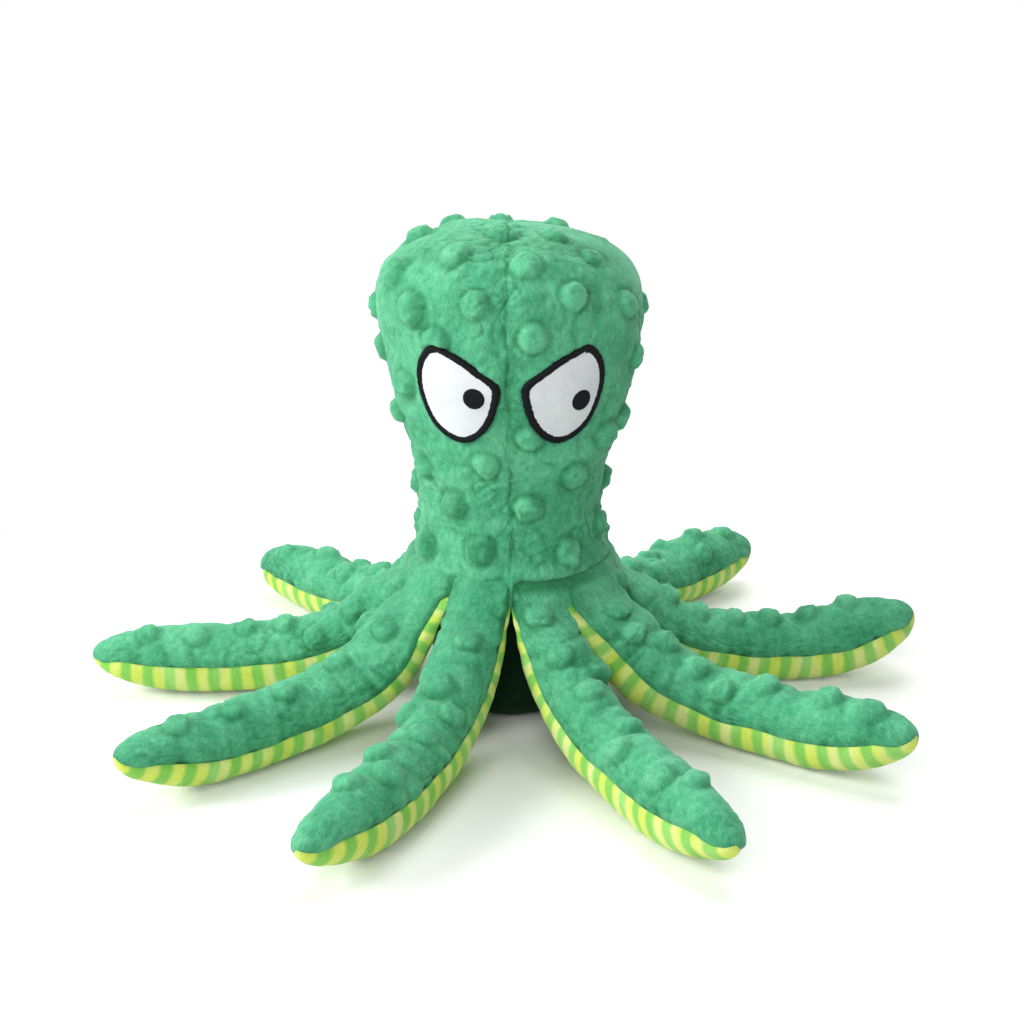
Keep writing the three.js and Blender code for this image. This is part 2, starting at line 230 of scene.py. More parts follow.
def setFinish(shader, finish):
    for title, value in finish.items():
        shader.inputs[title].default_value = value


def noiseNode(nodes, links, place, scale, detail=3.0, roughness=0.5, distortion=0.0):
    noise = nodes.new("ShaderNodeTexNoise")
    noise.inputs["Scale"].default_value = scale
    noise.inputs["Detail"].default_value = detail
    noise.inputs["Roughness"].default_value = roughness
    noise.inputs["Distortion"].default_value = distortion
    links.new(place, noise.inputs["Vector"])
    return noise.outputs["Fac"]


def stretched(nodes, links, place, factors):
    mapping = nodes.new("ShaderNodeMapping")
    mapping.inputs["Scale"].default_value = factors
    links.new(place, mapping.inputs["Vector"])
    return mapping.outputs["Vector"]


def rampNode(nodes, links, value, stops):
    ramp = nodes.new("ShaderNodeValToRGB")
    ramp.color_ramp.elements[0].position, ramp.color_ramp.elements[0].color = stops[0][0], (*stops[0][1], 1)
    ramp.color_ramp.elements[1].position, ramp.color_ramp.elements[1].color = stops[-1][0], (*stops[-1][1], 1)
    for position, colour in stops[1:-1]:
        ramp.color_ramp.elements.new(position).color = (*colour, 1)
    links.new(value, ramp.inputs["Fac"])
    return ramp.outputs["Color"]


def mathNode(nodes, links, operation, first, second=0.0, third=0.0):
    node = nodes.new("ShaderNodeMath")
    node.operation = operation
    for socket, value in zip(node.inputs, (first, second, third)):
        if isinstance(value, (int, float)):
            socket.default_value = value
        else:
            links.new(value, socket)
    return node.outputs[0]


def mixNode(nodes, links, factor, first, second, blend="MIX"):
    node = nodes.new("ShaderNodeMix")
    node.data_type = "RGBA"
    node.blend_type = blend
    for title, value in (("Factor", factor), ("A", first), ("B", second)):
        socket = node.inputs[title]
        if isinstance(value, (int, float)):
            socket.default_value = value
        elif isinstance(value, tuple):
            socket.default_value = (*value, 1)
        else:
            links.new(value, socket)
    return node.outputs["Result"]


def bumpNode(nodes, links, height, distance, strength=1.0, before=None):
    bump = nodes.new("ShaderNodeBump")
    bump.inputs["Distance"].default_value = distance
    bump.inputs["Strength"].default_value = strength
    links.new(height, bump.inputs["Height"])
    if before is not None:
        links.new(before, bump.inputs["Normal"])
    return bump.outputs["Normal"]


def attributeNode(nodes, name):
    node = nodes.new("ShaderNodeAttribute")
    node.attribute_name = name
    return node.outputs["Fac"]


def srgb(red, green, blue):
    # a colour as painters read it, 0 to 255, in the linear numbers that the shader takes
    shares = [value / 255 for value in (red, green, blue)]
    return tuple(share / 12.92 if share < 0.04045 else ((share + 0.055) / 1.055) ** 2.4 for share in shares)


# In the looks, noises have scale, detail, roughness and distortion, and bumps have depth and strength

pileLook = {
    "deep": srgb(51, 141, 99),
    "plain": srgb(80, 170, 126),
    "pale": srgb(113, 196, 152),
    "toneStops": (0.57, 0.75, 0.93),
    # the ridge colour is the dots' paler tone and, on the arms, a painted highlight on the crests
    "ridge": srgb(108, 196, 150), "ridgeShare": 0.5,
    "nap": (60.0, 3.0, 0.55, 0.4),       # patches of brushed pile, about 16 mm
    "tuft": (380.0, 3.0, 0.6),           # clumps of pile, about 2.6 mm
    "brush": (620.0, 3.0, 0.6, 0.3),     # marks of combing, 1.6 mm wide
    "fibre": (1900.0, 2.0, 0.6),         # ends of the fibres, 0.5 mm
    "napShare": 0.5, "tuftShare": 0.3, "brushShare": 0.35, "fibreShare": 0.35,
    "lying": (1.0, 1.0, 0.7), "combed": (0.68, 1.0, 1.0),
    "tuftBump": (0.8 * mm, 0.5), "brushBump": (0.5 * mm, 0.5), "fibreBump": (0.35 * mm, 0.6),
    "specular": 0.18, "sheen": 0.36,
    "finish": {"Roughness": 0.92, "Sheen Roughness": 0.45, "Sheen Tint": (*srgb(190, 238, 212), 1)},
}


def makePileMaterial(name, strength, shade, shadeShare):
    # strength: how light the cloth is, 1 is the dotted pile, and less paints the cloth in shade; shade: the
    # colour of the painted shade in creases, seams and hollows
    material, nodes, links, shader, place = newMaterial(name)
    lying = stretched(nodes, links, place, pileLook["lying"])
    combed = stretched(nodes, links, clothPlace(nodes), pileLook["combed"])
    nap = noiseNode(nodes, links, lying, *pileLook["nap"])
    tuft = noiseNode(nodes, links, lying, *pileLook["tuft"])
    fibre = noiseNode(nodes, links, combed, *pileLook["fibre"])
    brush = noiseNode(nodes, links, combed, *pileLook["brush"])
    tone = mathNode(nodes, links, "MULTIPLY", nap, pileLook["napShare"])
    for noise, share in ((tuft, "tuftShare"), (fibre, "fibreShare"), (brush, "brushShare")):
        tone = mathNode(nodes, links, "MULTIPLY_ADD", noise, pileLook[share], tone)
    tones = (pileLook["deep"], pileLook["plain"], pileLook["pale"])
    colour = rampNode(nodes, links, tone, list(zip(pileLook["toneStops"], tones)))
    # towards the ridge colour: the dots' paler tone, and on the arms a painted highlight on the crests of the
    # cloth
    raised = mathNode(nodes, links, "MULTIPLY", attributeNode(nodes, "raised"), pileLook["ridgeShare"])
    colour = mixNode(nodes, links, raised, colour, pileLook["ridge"])
    # painted shade: the colour darkens towards the shade colour where the attribute marks creases, seams and
    # hollows
    sunk = mathNode(nodes, links, "MULTIPLY", attributeNode(nodes, "sunk"), shadeShare)
    colour = mixNode(nodes, links, sunk, colour, shade, "MULTIPLY")
    colour = mixNode(nodes, links, 1.0, colour, (strength, strength, strength), "MULTIPLY")
    links.new(colour, shader.inputs["Base Color"])
    normal = None
    for noise, bump in ((tuft, "tuftBump"), (brush, "brushBump"), (fibre, "fibreBump")):
        normal = bumpNode(nodes, links, noise, *pileLook[bump], normal)
    links.new(normal, shader.inputs["Normal"])
    setFinish(shader, pileLook["finish"])
    shader.inputs["Specular IOR Level"].default_value = pileLook["specular"] * strength
    shader.inputs["Sheen Weight"].default_value = pileLook["sheen"] * strength ** 2
    return material


stripeLook = {
    "lime": srgb(208, 226, 96),
    "limePale": srgb(223, 232, 158),
    "green": srgb(129, 199, 85),
    "greenPale": srgb(155, 214, 115),
    "pair": 8.1 * mm,     # a lime and a green stripe together
    "edge": 0.08,         # share of a pair over which one colour turns into the other
    "waver": (160.0, 2.0), "waverDepth": 0.9 * mm,
    "faded": (110.0, 2.0), "fadedWay": (1.0, 0.45, 1.0), "fadedStops": (0.42, 0.68),
    "velour": (1500.0, 2.0, 0.6), "velourStops": (0.3, 0.7), "velourShade": 0.86,
    "velourBump": (0.2 * mm, 0.5), "paintedShadeShare": 0.5,
    "finish": {"Roughness": 0.85, "Specular IOR Level": 0.2, "Sheen Weight": 0.25, "Sheen Roughness": 0.5,
               "Sheen Tint": (*srgb(235, 245, 190), 1)},
}


def makeStripeMaterial():
    material, nodes, links, shader, place = newMaterial("stripedVelour")
    cloth = clothPlace(nodes)
    split = nodes.new("ShaderNodeSeparateXYZ")
    links.new(cloth, split.inputs["Vector"])
    waver = noiseNode(nodes, links, place, *stripeLook["waver"])
    along = mathNode(nodes, links, "MULTIPLY_ADD", waver, stripeLook["waverDepth"], split.outputs["X"])
    turns = mathNode(nodes, links, "DIVIDE", along, stripeLook["pair"])
    wave = mathNode(nodes, links, "PINGPONG", turns, 0.5)
    lime = mathNode(nodes, links, "SUBTRACT", wave, 0.25 - stripeLook["edge"])
    lime = mathNode(nodes, links, "DIVIDE", lime, 2 * stripeLook["edge"])
    lime.node.use_clamp = True
    fadedPlace = stretched(nodes, links, cloth, stripeLook["fadedWay"])
    faded = noiseNode(nodes, links, fadedPlace, *stripeLook["faded"])
    low, high = stripeLook["fadedStops"]
    fadedShare = rampNode(nodes, links, faded, [(low, (0, 0, 0)), (high, (1, 1, 1))])
    limeColour = mixNode(nodes, links, fadedShare, stripeLook["lime"], stripeLook["limePale"])
    greenColour = mixNode(nodes, links, fadedShare, stripeLook["green"], stripeLook["greenPale"])
    colour = mixNode(nodes, links, lime, greenColour, limeColour)
    velour = noiseNode(nodes, links, place, *stripeLook["velour"])
    low, high = stripeLook["velourStops"]
    shade = rampNode(nodes, links, velour, [(low, (stripeLook["velourShade"],) * 3), (high, (1, 1, 1))])
    colour = mixNode(nodes, links, 1.0, colour, shade, "MULTIPLY")
    # painted shade: the stripes darken where the attribute marks the seams, the waist and the gaps between
    # arms
    sunk = mathNode(nodes, links, "MULTIPLY", attributeNode(nodes, "sunk"), stripeLook["paintedShadeShare"])
    colour = mixNode(nodes, links, sunk, colour, stripeLook["green"], "MULTIPLY")
    links.new(colour, shader.inputs["Base Color"])
    links.new(bumpNode(nodes, links, velour, *stripeLook["velourBump"]), shader.inputs["Normal"])
    setFinish(shader, stripeLook["finish"])
    return material


eyeClothLook = {
    "fibre": (2200.0, 2.0), "fibreShare": 0.5, "soft": (120.0, 2.0), "softShare": 0.5,
    "bump": (0.12 * mm, 0.5),
    "tones": [(0.3, srgb(205, 208, 212)), (0.62, srgb(225, 226, 228))],
    "finish": {"Roughness": 0.8, "Specular IOR Level": 0.25, "Sheen Weight": 0.15},
}


def makeEyeClothMaterial():
    material, nodes, links, shader, place = newMaterial("whiteEyeCloth")
    fibre = noiseNode(nodes, links, place, *eyeClothLook["fibre"])
    soft = noiseNode(nodes, links, place, *eyeClothLook["soft"])
    soft = mathNode(nodes, links, "MULTIPLY", soft, eyeClothLook["softShare"])
    tone = mathNode(nodes, links, "MULTIPLY_ADD", fibre, eyeClothLook["fibreShare"], soft)
    links.new(rampNode(nodes, links, tone, eyeClothLook["tones"]), shader.inputs["Base Color"])
    links.new(bumpNode(nodes, links, fibre, *eyeClothLook["bump"]), shader.inputs["Normal"])
    setFinish(shader, eyeClothLook["finish"])
    return material


# Looks from a single noise, in two tones

plainLooks = {
    "blackThread": {"noise": (3200.0, 2.0), "bump": (0.08 * mm, 0.6),
                    "tones": [(0.3, srgb(8, 9, 11)), (0.75, srgb(30, 32, 37))],
                    "finish": {"Roughness": 0.75, "Specular IOR Level": 0.12}},
    "whiteFibre": {"noise": (260.0, 4.0, 0.6, 0.8), "bump": (0.8 * mm, 0.6),
                   "tones": [(0.35, srgb(222, 220, 214)), (0.65, srgb(248, 247, 243))],
                   "finish": {"Roughness": 0.95}},
    "bulbSkin": {"noise": (90.0, 4.0, 0.6, 0.8), "bump": (0.1 * mm, 0.6),
                 "tones": [(0.35, srgb(226, 219, 203)), (0.65, srgb(240, 235, 222))],
                 "finish": {"Roughness": 0.45}},
    "reedPlastic": {"noise": (400.0, 4.0, 0.6, 0.8), "bump": (0.03 * mm, 0.6),
                    "tones": [(0.35, srgb(244, 244, 242)), (0.65, srgb(252, 252, 251))],
                    "finish": {"Roughness": 0.35}},
}


def makePlainMaterial(name):
    look = plainLooks[name]
    material, nodes, links, shader, place = newMaterial(name)
    tone = noiseNode(nodes, links, place, *look["noise"])
    links.new(rampNode(nodes, links, tone, look["tones"]), shader.inputs["Base Color"])
    links.new(bumpNode(nodes, links, tone, *look["bump"]), shader.inputs["Normal"])
    setFinish(shader, look["finish"])
    return material


pile = makePileMaterial("shortPile", 1.0, srgb(60, 146, 100), 0.7)
# the base's cloth: the same pile made darker, a painted shade for the shade under the body
shadedUnderPile = makePileMaterial("shadedUnderPile", 0.45, srgb(14, 44, 26), 1.0)
striped = makeStripeMaterial()
eyeCloth = makeEyeClothMaterial()
blackThread, fibreFill, bulbSkin, reedPlastic = (makePlainMaterial(name) for name in plainLooks)
print("materials made")


# Stuffing: the cloth is simulated on a coarse, enlarged copy of a piece, and its folds go to the fine piece

stuffed = {
    "frames": 20, "pressure": 4.0, "slack": 0.06, "enlarged": 10,
    "most": 2.2 * mm,      # how far the folds may move the cloth
}


def swollen(place, outward, held):
    # how far the stuffing moves the cloth outward at each point of a grid that goes round a piece;
    # the seams, where held is true, stay where they are
    rows, columns = held.shape
    row, column = np.mgrid[0:rows - 1, 0:columns]
    after = (column + 1) % columns
    faces = np.stack([row * columns + column, row * columns + after,
                      (row + 1) * columns + after, (row + 1) * columns + column], axis=-1).reshape(-1, 4)
    points, outward = place.reshape(-1, 3), outward.reshape(-1, 3)
    first, second, third = (points[faces[:, corner]] for corner in range(3))
    facing = (np.cross(second - first, third - first) * outward[faces[:, 0]]).sum()
    if facing <= 0:
        faces = faces[:, ::-1]
    mesh = bpy.data.meshes.new("coarseCloth")
    mesh.from_pydata((points * stuffed["enlarged"]).tolist(), [], faces.tolist())
    piece = bpy.data.objects.new("coarseCloth", mesh)
    scene = bpy.context.scene
    scene.collection.objects.link(piece)
    seams = piece.vertex_groups.new(name="seams")
    seams.add(np.flatnonzero(held).tolist(), 1.0, "REPLACE")
    modifier = piece.modifiers.new("stuffing", "CLOTH")
    modifier.settings.vertex_group_mass = "seams"
    modifier.settings.use_pressure = True
    modifier.settings.uniform_pressure_force = stuffed["pressure"]
    modifier.settings.shrink_min = -stuffed["slack"]      # the cloth is cut larger than the form it fills
    modifier.settings.effector_weights.gravity = 0
    modifier.collision_settings.use_collision = False
    modifier.point_cache.frame_start, modifier.point_cache.frame_end = 1, stuffed["frames"]
    for step in range(1, stuffed["frames"] + 1):
        scene.frame_set(step)
    settled = piece.evaluated_get(bpy.context.evaluated_depsgraph_get()).data
    moved = np.zeros(len(points) * 3)
    settled.vertices.foreach_get("co", moved)
    bpy.data.objects.remove(piece)
    bpy.data.meshes.remove(mesh)
    scene.frame_set(1)
    out = ((moved.reshape(-1, 3) / stuffed["enlarged"] - points) * outward).sum(axis=1).reshape(held.shape)
    out = np.where(held, 0, out - out[~held].mean())
    return stuffed["most"] * np.tanh(out / stuffed["most"])


def throughPoints(before, start, end, after, share):
    # a smooth curve from start to end, as a share of the way
    return 0.5 * (2 * start + (end - before) * share + (2 * before - 5 * start + 4 * end - after) * share ** 2
                  + (3 * start - before - 3 * end + after) * share ** 3)


def resampled(values, rows, columns):
    # a coarse grid at other places, given as fractions of its rows and of its columns
    for spots in (rows, columns):
        spots = np.clip(spots, 0, 1) * (len(values) - 1)
        low = np.minimum(spots.astype(int), len(values) - 2)
        near = [values[np.clip(low + step, 0, len(values) - 1)] for step in (-1, 0, 1, 2)]
        values = throughPoints(*near, (spots - low)[:, None]).T
    return values


# Raised dots of the pile cloth

dotShape = {
    "radius": 4.9 * mm, "height": 2.9 * mm, "unevenness": 0.13, "unevenSize": 4.5 * mm,
    "headEdge": 0.4, "armEdge": 0.31, "armSquash": 1.08, "armLean": 0.45,
    "sideShare": 0.3,      # how much of the height is the steep side; a dome is the rest
    "domeReach": 1.2, "footAway": 1.14, "footReach": 0.21,      # in radii of the dot
    "wrinkle": 0.42 * mm, "wrinkleSize": 5.2 * mm, "wrinkleWidth": 0.17, "wrinkledFrom": (0.35, 0.8),
    "wrinkleShade": 0.5,
}


def dotLift(points, centres, sizes, tones, edge, aheads=None):
    # at each point: how far the dots raise the cloth, their tone, and a painted shade that is 1 in the crease
    # at the foot;
    # with aheads the dots are squashed that way and their far foot is the firmer one
    raised, footShade, tone = (np.zeros(points.shape[:-1]) for _ in range(3))
    uneven = 1 + dotShape["unevenness"] * lumps(points, dotShape["unevenSize"], 71)
    side = dotShape["sideShare"]
    for number, (centre, size) in enumerate(zip(centres, sizes)):
        reach = dotShape["radius"] * size
        offset = points - centre
        away, softness, foot = (offset ** 2).sum(axis=-1), edge, 1
        if aheads is not None:
            forward = offset @ aheads[number]
            away = away + (dotShape["armSquash"] ** 2 - 1) * forward ** 2
            lean = dotShape["armLean"] * np.clip(forward / reach, -1, 1)
            softness, foot = edge * (1 - lean), 1 - dotShape["armLean"] + lean
        away = np.sqrt(away) / reach * uneven
        dome = np.sqrt(np.clip(1 - (away / dotShape["domeReach"]) ** 2, 0, 1))
        shoulder = smooth(1 + softness / 2, 1 - softness, away)
        tone = np.where(shoulder > 0.02, shoulder * tones[number], tone)
        raised = np.maximum(raised, shoulder * (side + (1 - side) * dome) * size)
        footShade = np.maximum(footShade, foot * hill(away, dotShape["footAway"], dotShape["footReach"]))
    wrinkle = smooth(dotShape["wrinkleWidth"], 0, np.abs(lumps(points, dotShape["wrinkleSize"], 74)))
    wrinkle = wrinkle * smooth(*dotShape["wrinkledFrom"], raised)
    lift = raised * dotShape["height"] - wrinkle * dotShape["wrinkle"]
    return lift, tone, np.clip(footShade + dotShape["wrinkleShade"] * wrinkle, 0, 1)


# Head

head = {
    "waistHeight": 56 * mm, "waistRadius": 35.5 * mm,
    "neckRise": 18 * mm, "neckRadius": 33.6 * mm,
    "browRise": 95 * mm, "browRadius": 46.7 * mm,
    "crownRise": 25.5 * mm, "crownSquareness": 2.4,
    "thickness": 1.2 * mm,
    "rows": 300, "columns": 110, "crowding": 0.75,
    "coarseRows": 80, "coarseColumns": 30, "foldShare": 0.6, "foldsEnd": 7 * mm,
    "seamDepth": 1.4 * mm, "seamReach": 1.0 * mm, "seamSway": 0.75 * mm, "sideSeamShare": 0.35,
    "seamFade": 0.6, "seamFadeHeights": (160 * mm, 170 * mm),
    "hemDepth": 3.4 * mm, "hemReach": 3.1 * mm, "softHemShare": 0.15,
    "frontDots": [      # degrees round from the front seam, mm up, tone from -1 dark to 1 pale
        (-30, 169.7, 0), (-61, 163, -0.2), (7, 167.8, 0.9), (-45, 152.7, -0.1), (-15, 156.2, -0.2),
        (27, 158.4, 0.9), (9, 145.8, 0.8), (50, 169.5, 0.1), (57, 153.6, 0.1), (-33, 142.9, 0.2),
        (-55, 125.7, -0.1), (-13, 100.1, 0.4), (-56, 95.7, -0.3), (37, 94.8, 0.2), (9, 110.3, 0.3),
        (-35, 84.2, -0.7), (10, 83.9, 0.3), (-19, 68.4, -0.6), (-59, 65.4, -0.7), (36, 66.7, 0.4),
        (56, 107.6, -0.2), (-9, 175.3, 0.2), (43, 174.6, 0.2), (-93, 147.5, 0), (-84, 134, -0.3),
        (-75, 113, 0), (-88, 84.5, -0.2), (-123, 163.5, -0.2), (99, 147.5, 0), (69, 133.5, 0),
        (72, 111, 0), (88, 85.5, -0.2), (69, 72, -0.2), (121, 162, 0), (-171, 174.5, 0),
        (-133, 173, 0), (140, 173.5, 0)],
    "backDots": {      # set out in rows, each a little off its place; none where the front ones lie
        "rows": 9, "firstRun": 10 * mm, "rowRun": 14 * mm, "pitch": 20 * mm, "spacing": 1.42, "room": 0.8,
        "strayTurn": 0.03, "strayRun": 1 * mm, "frontTurn": 75, "topHeight": 172 * mm, "tones": (-0.5, 0.7)},
    "dotSizes": (0.92, 1.08),
    "frontSeamLean": 1.5 * mm,           # how far the front seam strays to the left by the brow
}
pivotHeight = frame["joints"][0]["pos_m"][2]
pivotHeight = frame["joints"][0]["pos_m"][2]


def headRadiusAt(height):
    rise = height - head["waistHeight"]
    neck = ease(head["waistRadius"], head["neckRadius"], rise / head["neckRise"])
    share = (rise - head["neckRise"]) / (head["browRise"] - head["neckRise"])
    side = ease(head["neckRadius"], head["browRadius"], share)
    power = head["crownSquareness"]
    crownShare = np.clip((rise - head["browRise"]) / head["crownRise"], 0, 1)
    crown = head["browRadius"] * (1 - crownShare ** power) ** (1 / power)
    return np.where(rise < head["neckRise"], neck, np.where(rise < head["browRise"], side, crown))


def headProfile():
    # run up the cloth from the waist seam, radius, height and the two parts of the outward direction
    brow = head["waistHeight"] + head["browRise"]
    side = np.linspace(head["waistHeight"], brow, 500)
    power = 2 / head["crownSquareness"]
    angle = np.linspace(0, np.pi / 2, 400)[1:]
    crownHeight = brow + head["crownRise"] * np.sin(angle) ** power
    crownRadius = head["browRadius"] * np.abs(np.cos(angle)) ** power
    height = np.concatenate([side, crownHeight])
    radius = np.concatenate([headRadiusAt(side), crownRadius])
    radius[-1] = 0
    run = np.concatenate([[0], np.cumsum(np.hypot(np.diff(radius), np.diff(height)))])
    even = np.linspace(0, run[-1], 1200)
    radius, height = np.interp(even, run, radius), np.interp(even, run, height)
    outX, outZ = np.gradient(height, even), -np.gradient(radius, even)
    return even, radius, height, outX, outZ


profile = headProfile()


def onHead(azimuth, run):
    # place and outward direction on the head's smooth shape; azimuth in radians from the front
    run, radius, height, outX, outZ = (np.interp(run, profile[0], row) for row in profile)
    place = np.stack([radius * np.sin(azimuth), -radius * np.cos(azimuth), height], axis=-1)
    length = np.hypot(outX, outZ)
    outX, outZ = outX / length, outZ / length
    outward = np.stack([outX * np.sin(azimuth), -outX * np.cos(azimuth), outZ], axis=-1)
    return place, outward


def runAtHeight(height):
    return np.interp(height, profile[2], profile[0])


def headDots():
    back = head["backDots"]
    places, tones = [], []
    for turn, height, tone in head["frontDots"]:
        places.append(onHead(math.radians(turn), runAtHeight(height * mm))[0])
        tones.append(tone)
    chance = np.random.RandomState(5)
    for row in range(back["rows"]):
        run = back["firstRun"] + row * back["rowRun"]
        radius = np.interp(run, profile[0], profile[1])
        count = max(int(2 * np.pi * radius / (back["pitch"] * back["spacing"])), 3)
        for step in range(count):
            turn = 2 * np.pi * (step + 0.5 * (row % 2)) / count
            turn += chance.uniform(-back["strayTurn"], back["strayTurn"])
            spot = onHead(turn, run + chance.uniform(-back["strayRun"], back["strayRun"]))[0]
            facing = abs((math.degrees(turn) + 180) % 360 - 180) < back["frontTurn"]
            gap = min(np.linalg.norm(spot - place) for place in places)
            if facing or spot[2] > back["topHeight"] or gap < back["room"] * back["pitch"]:
                continue
            places.append(spot)
            tones.append(chance.uniform(*back["tones"]))
    return np.array(places), chance.uniform(*head["dotSizes"], len(places)), tones


# Eyes: outline points as shares of the eye's width and height, across from the nose side and up

eye = {
    "inset": 3.9 * mm, "width": 29.2 * mm, "rise": 52.5 * mm, "height": 33.1 * mm,
    "outlineShares": [
        (0, 0.6), (0.015, 0.46), (0.1, 0.24), (0.27, 0.07), (0.49, 0), (0.74, 0.07), (0.92, 0.24),
        (1, 0.55), (0.94, 0.82), (0.76, 1), (0.55, 0.955), (0.37, 0.875), (0.2, 0.77), (0.06, 0.68)],
    "centreShares": (0.52, 0.47),
    "pupilShares": {"left": (0.28, 0.5), "right": (0.7, 0.45)},
    "pupilRadius": 3.6 * mm, "pupilSlant": 0.12, "pupilEdge": 0.012, "pupilStitches": 23,
    "rimWidth": 2.5 * mm, "slantRimWidth": 1.9 * mm, "rimOverlap": 0.35 * mm, "rimRagged": 0.22 * mm,
    "rimSlant": 0.9, "slantFrom": (0.55, 0.9), "slantWidthShare": 0.7,
    "whiteLift": 0.4 * mm, "whiteSwell": 0.7 * mm, "whiteUnderRim": 0.45, "rimLift": 1.25 * mm,
    "rimEdge": 0.3 * mm, "pupilLift": 0.55 * mm,
    "bed": 0.5 * mm, "pupilBed": 0.2 * mm,      # how deep the undersides lie in the cloth
    "thread": 0.42 * mm,      # width of a satin stitch
    "rimRidge": 0.16 * mm, "pupilRidge": 0.1 * mm,      # how deep the valleys between the stitches are
}


def eyeSpot(share):
    return np.array([eye["inset"] + share[0] * eye["width"], eye["rise"] + share[1] * eye["height"]])


def eyeOutline(count):
    # a smooth closed curve through the outline points, evenly stepped
    corners = np.array([eyeSpot(share) for share in eye["outlineShares"]])
    before, after = np.roll(corners, 1, axis=0), np.roll(corners, -1, axis=0)
    beyond = np.roll(corners, -2, axis=0)
    share = np.linspace(0, 1, 40, endpoint=False)[:, None]
    pieces = []
    for spots in zip(before, corners, after, beyond):
        pieces.append(throughPoints(*spots, share))
    line = np.concatenate(pieces)
    line = np.concatenate([line, line[:1]])
    run = np.concatenate([[0], np.cumsum(np.linalg.norm(np.diff(line, axis=0), axis=1))])
    even = np.linspace(0, run[-1], count, endpoint=False)
    return np.stack([np.interp(even, run, line[:, 0]), np.interp(even, run, line[:, 1])], axis=1)


eyeRadius = float(headRadiusAt(head["waistHeight"] + eye["rise"] + eye["height"] / 2))


def onFace(spot, lift, side):
    # spot: distance across the face and rise above the waist, m; side -1 left, 1 right
    azimuth = side * spot[..., 0] / eyeRadius
    place, outward = onHead(azimuth, runAtHeight(head["waistHeight"] + spot[..., 1]))
    return place + outward * np.asarray(lift)[..., None]


def insideEye(azimuth, height):
    # distance in from the eye's outline, m, negative outside
    line = eyeOutline(160)
    spots = np.stack([np.abs(azimuth) * eyeRadius, height - head["waistHeight"]], axis=-1)
    flat = spots.reshape(-1, 2)
    result = np.full(len(flat), -1.0)
    near = (flat[:, 0] < eye["inset"] + eye["width"] * 1.2) & (flat[:, 1] > eye["rise"] - 6 * mm) \
        & (flat[:, 1] < eye["rise"] + eye["height"] + 6 * mm)
    close = flat[near]
    gap = np.linalg.norm(close[:, None] - line[None], axis=2).min(axis=1)
    following = np.roll(line, -1, axis=0)
    above = (line[None, :, 1] > close[:, None, 1]) != (following[None, :, 1] > close[:, None, 1])
    slope = (following[:, 0] - line[:, 0]) / (following[:, 1] - line[:, 1] + 1e-12)
    crossing = line[None, :, 0] + (close[:, None, 1] - line[None, :, 1]) * slope[None]
    within = (above & (close[:, None, 0] < crossing)).sum(axis=1) % 2 == 1
    result[near] = np.where(within, gap, -gap)
    return result.reshape(azimuth.shape)


def crowded(count, share):
    # steps from 0 to 1 that lie closer together near both ends
    even = np.linspace(0, 1, count)
    return even - share * np.sin(2 * np.pi * even) / (2 * np.pi)


def seamSway(run, seam):
    # how far a seam strays sideways, m; the seams are counted round from the front
    spots = np.stack([0 * run + 20 * mm * (seam % 4), 0 * run, run], axis=-1)
    lean = head["frontSeamLean"] * smooth(10 * mm, 95 * mm, run) if seam % 4 == 0 else 0
    return head["seamSway"] * (lumps(spots, 11 * mm, 61) + 0.6 * lumps(spots, 3.5 * mm, 62)) - lean


def waistCrease(azimuth):
    # how sharply the arms are set off from the head: firm right of the front seam, soft left of it
    turn = np.degrees((azimuth + np.pi) % (2 * np.pi) - np.pi)
    firm = smooth(-2, 5, turn) * smooth(60, 35, turn)
    soft = smooth(-75, -50, turn) * smooth(3, -6, turn)
    return 0.35 + 0.65 * firm - 0.25 * soft


def frontKnot(points):
    # the bunched pile where the front seam meets the two front arms
    middle = np.array([-0.8 * mm, -head["waistRadius"] - 1 * mm, 54.5 * mm])
    near = np.exp(-((points - middle) ** 2).sum(axis=-1) / (3.4 * mm) ** 2)
    return near * (0.7 + 1.5 * lumps(points, 2.2 * mm, 78)) * mm


def headFolds():
    # the simulated folds of each of the four panels
    count = head["coarseColumns"]
    top = profile[0][-1] - head["foldsEnd"]
    azimuth = np.arange(4 * count) * np.pi / (2 * count)
    azimuth, up = np.meshgrid(azimuth, np.linspace(0, top, head["coarseRows"]))
    place, outward = onHead(azimuth, up)
    held = insideEye((azimuth + np.pi) % (2 * np.pi) - np.pi, place[..., 2]) > -0.5 * mm
    held[0] = held[-1] = True
    held[:, ::count] = True
    folds = swollen(place, outward, held)
    folds = np.concatenate([folds, folds[:, :1]], axis=1)
    return [folds[:, quarter * count:(quarter + 1) * count + 1] for quarter in range(4)], top


# How the head's cloth lies: layers of lumps have depth, size and seed, and creases are worked out above

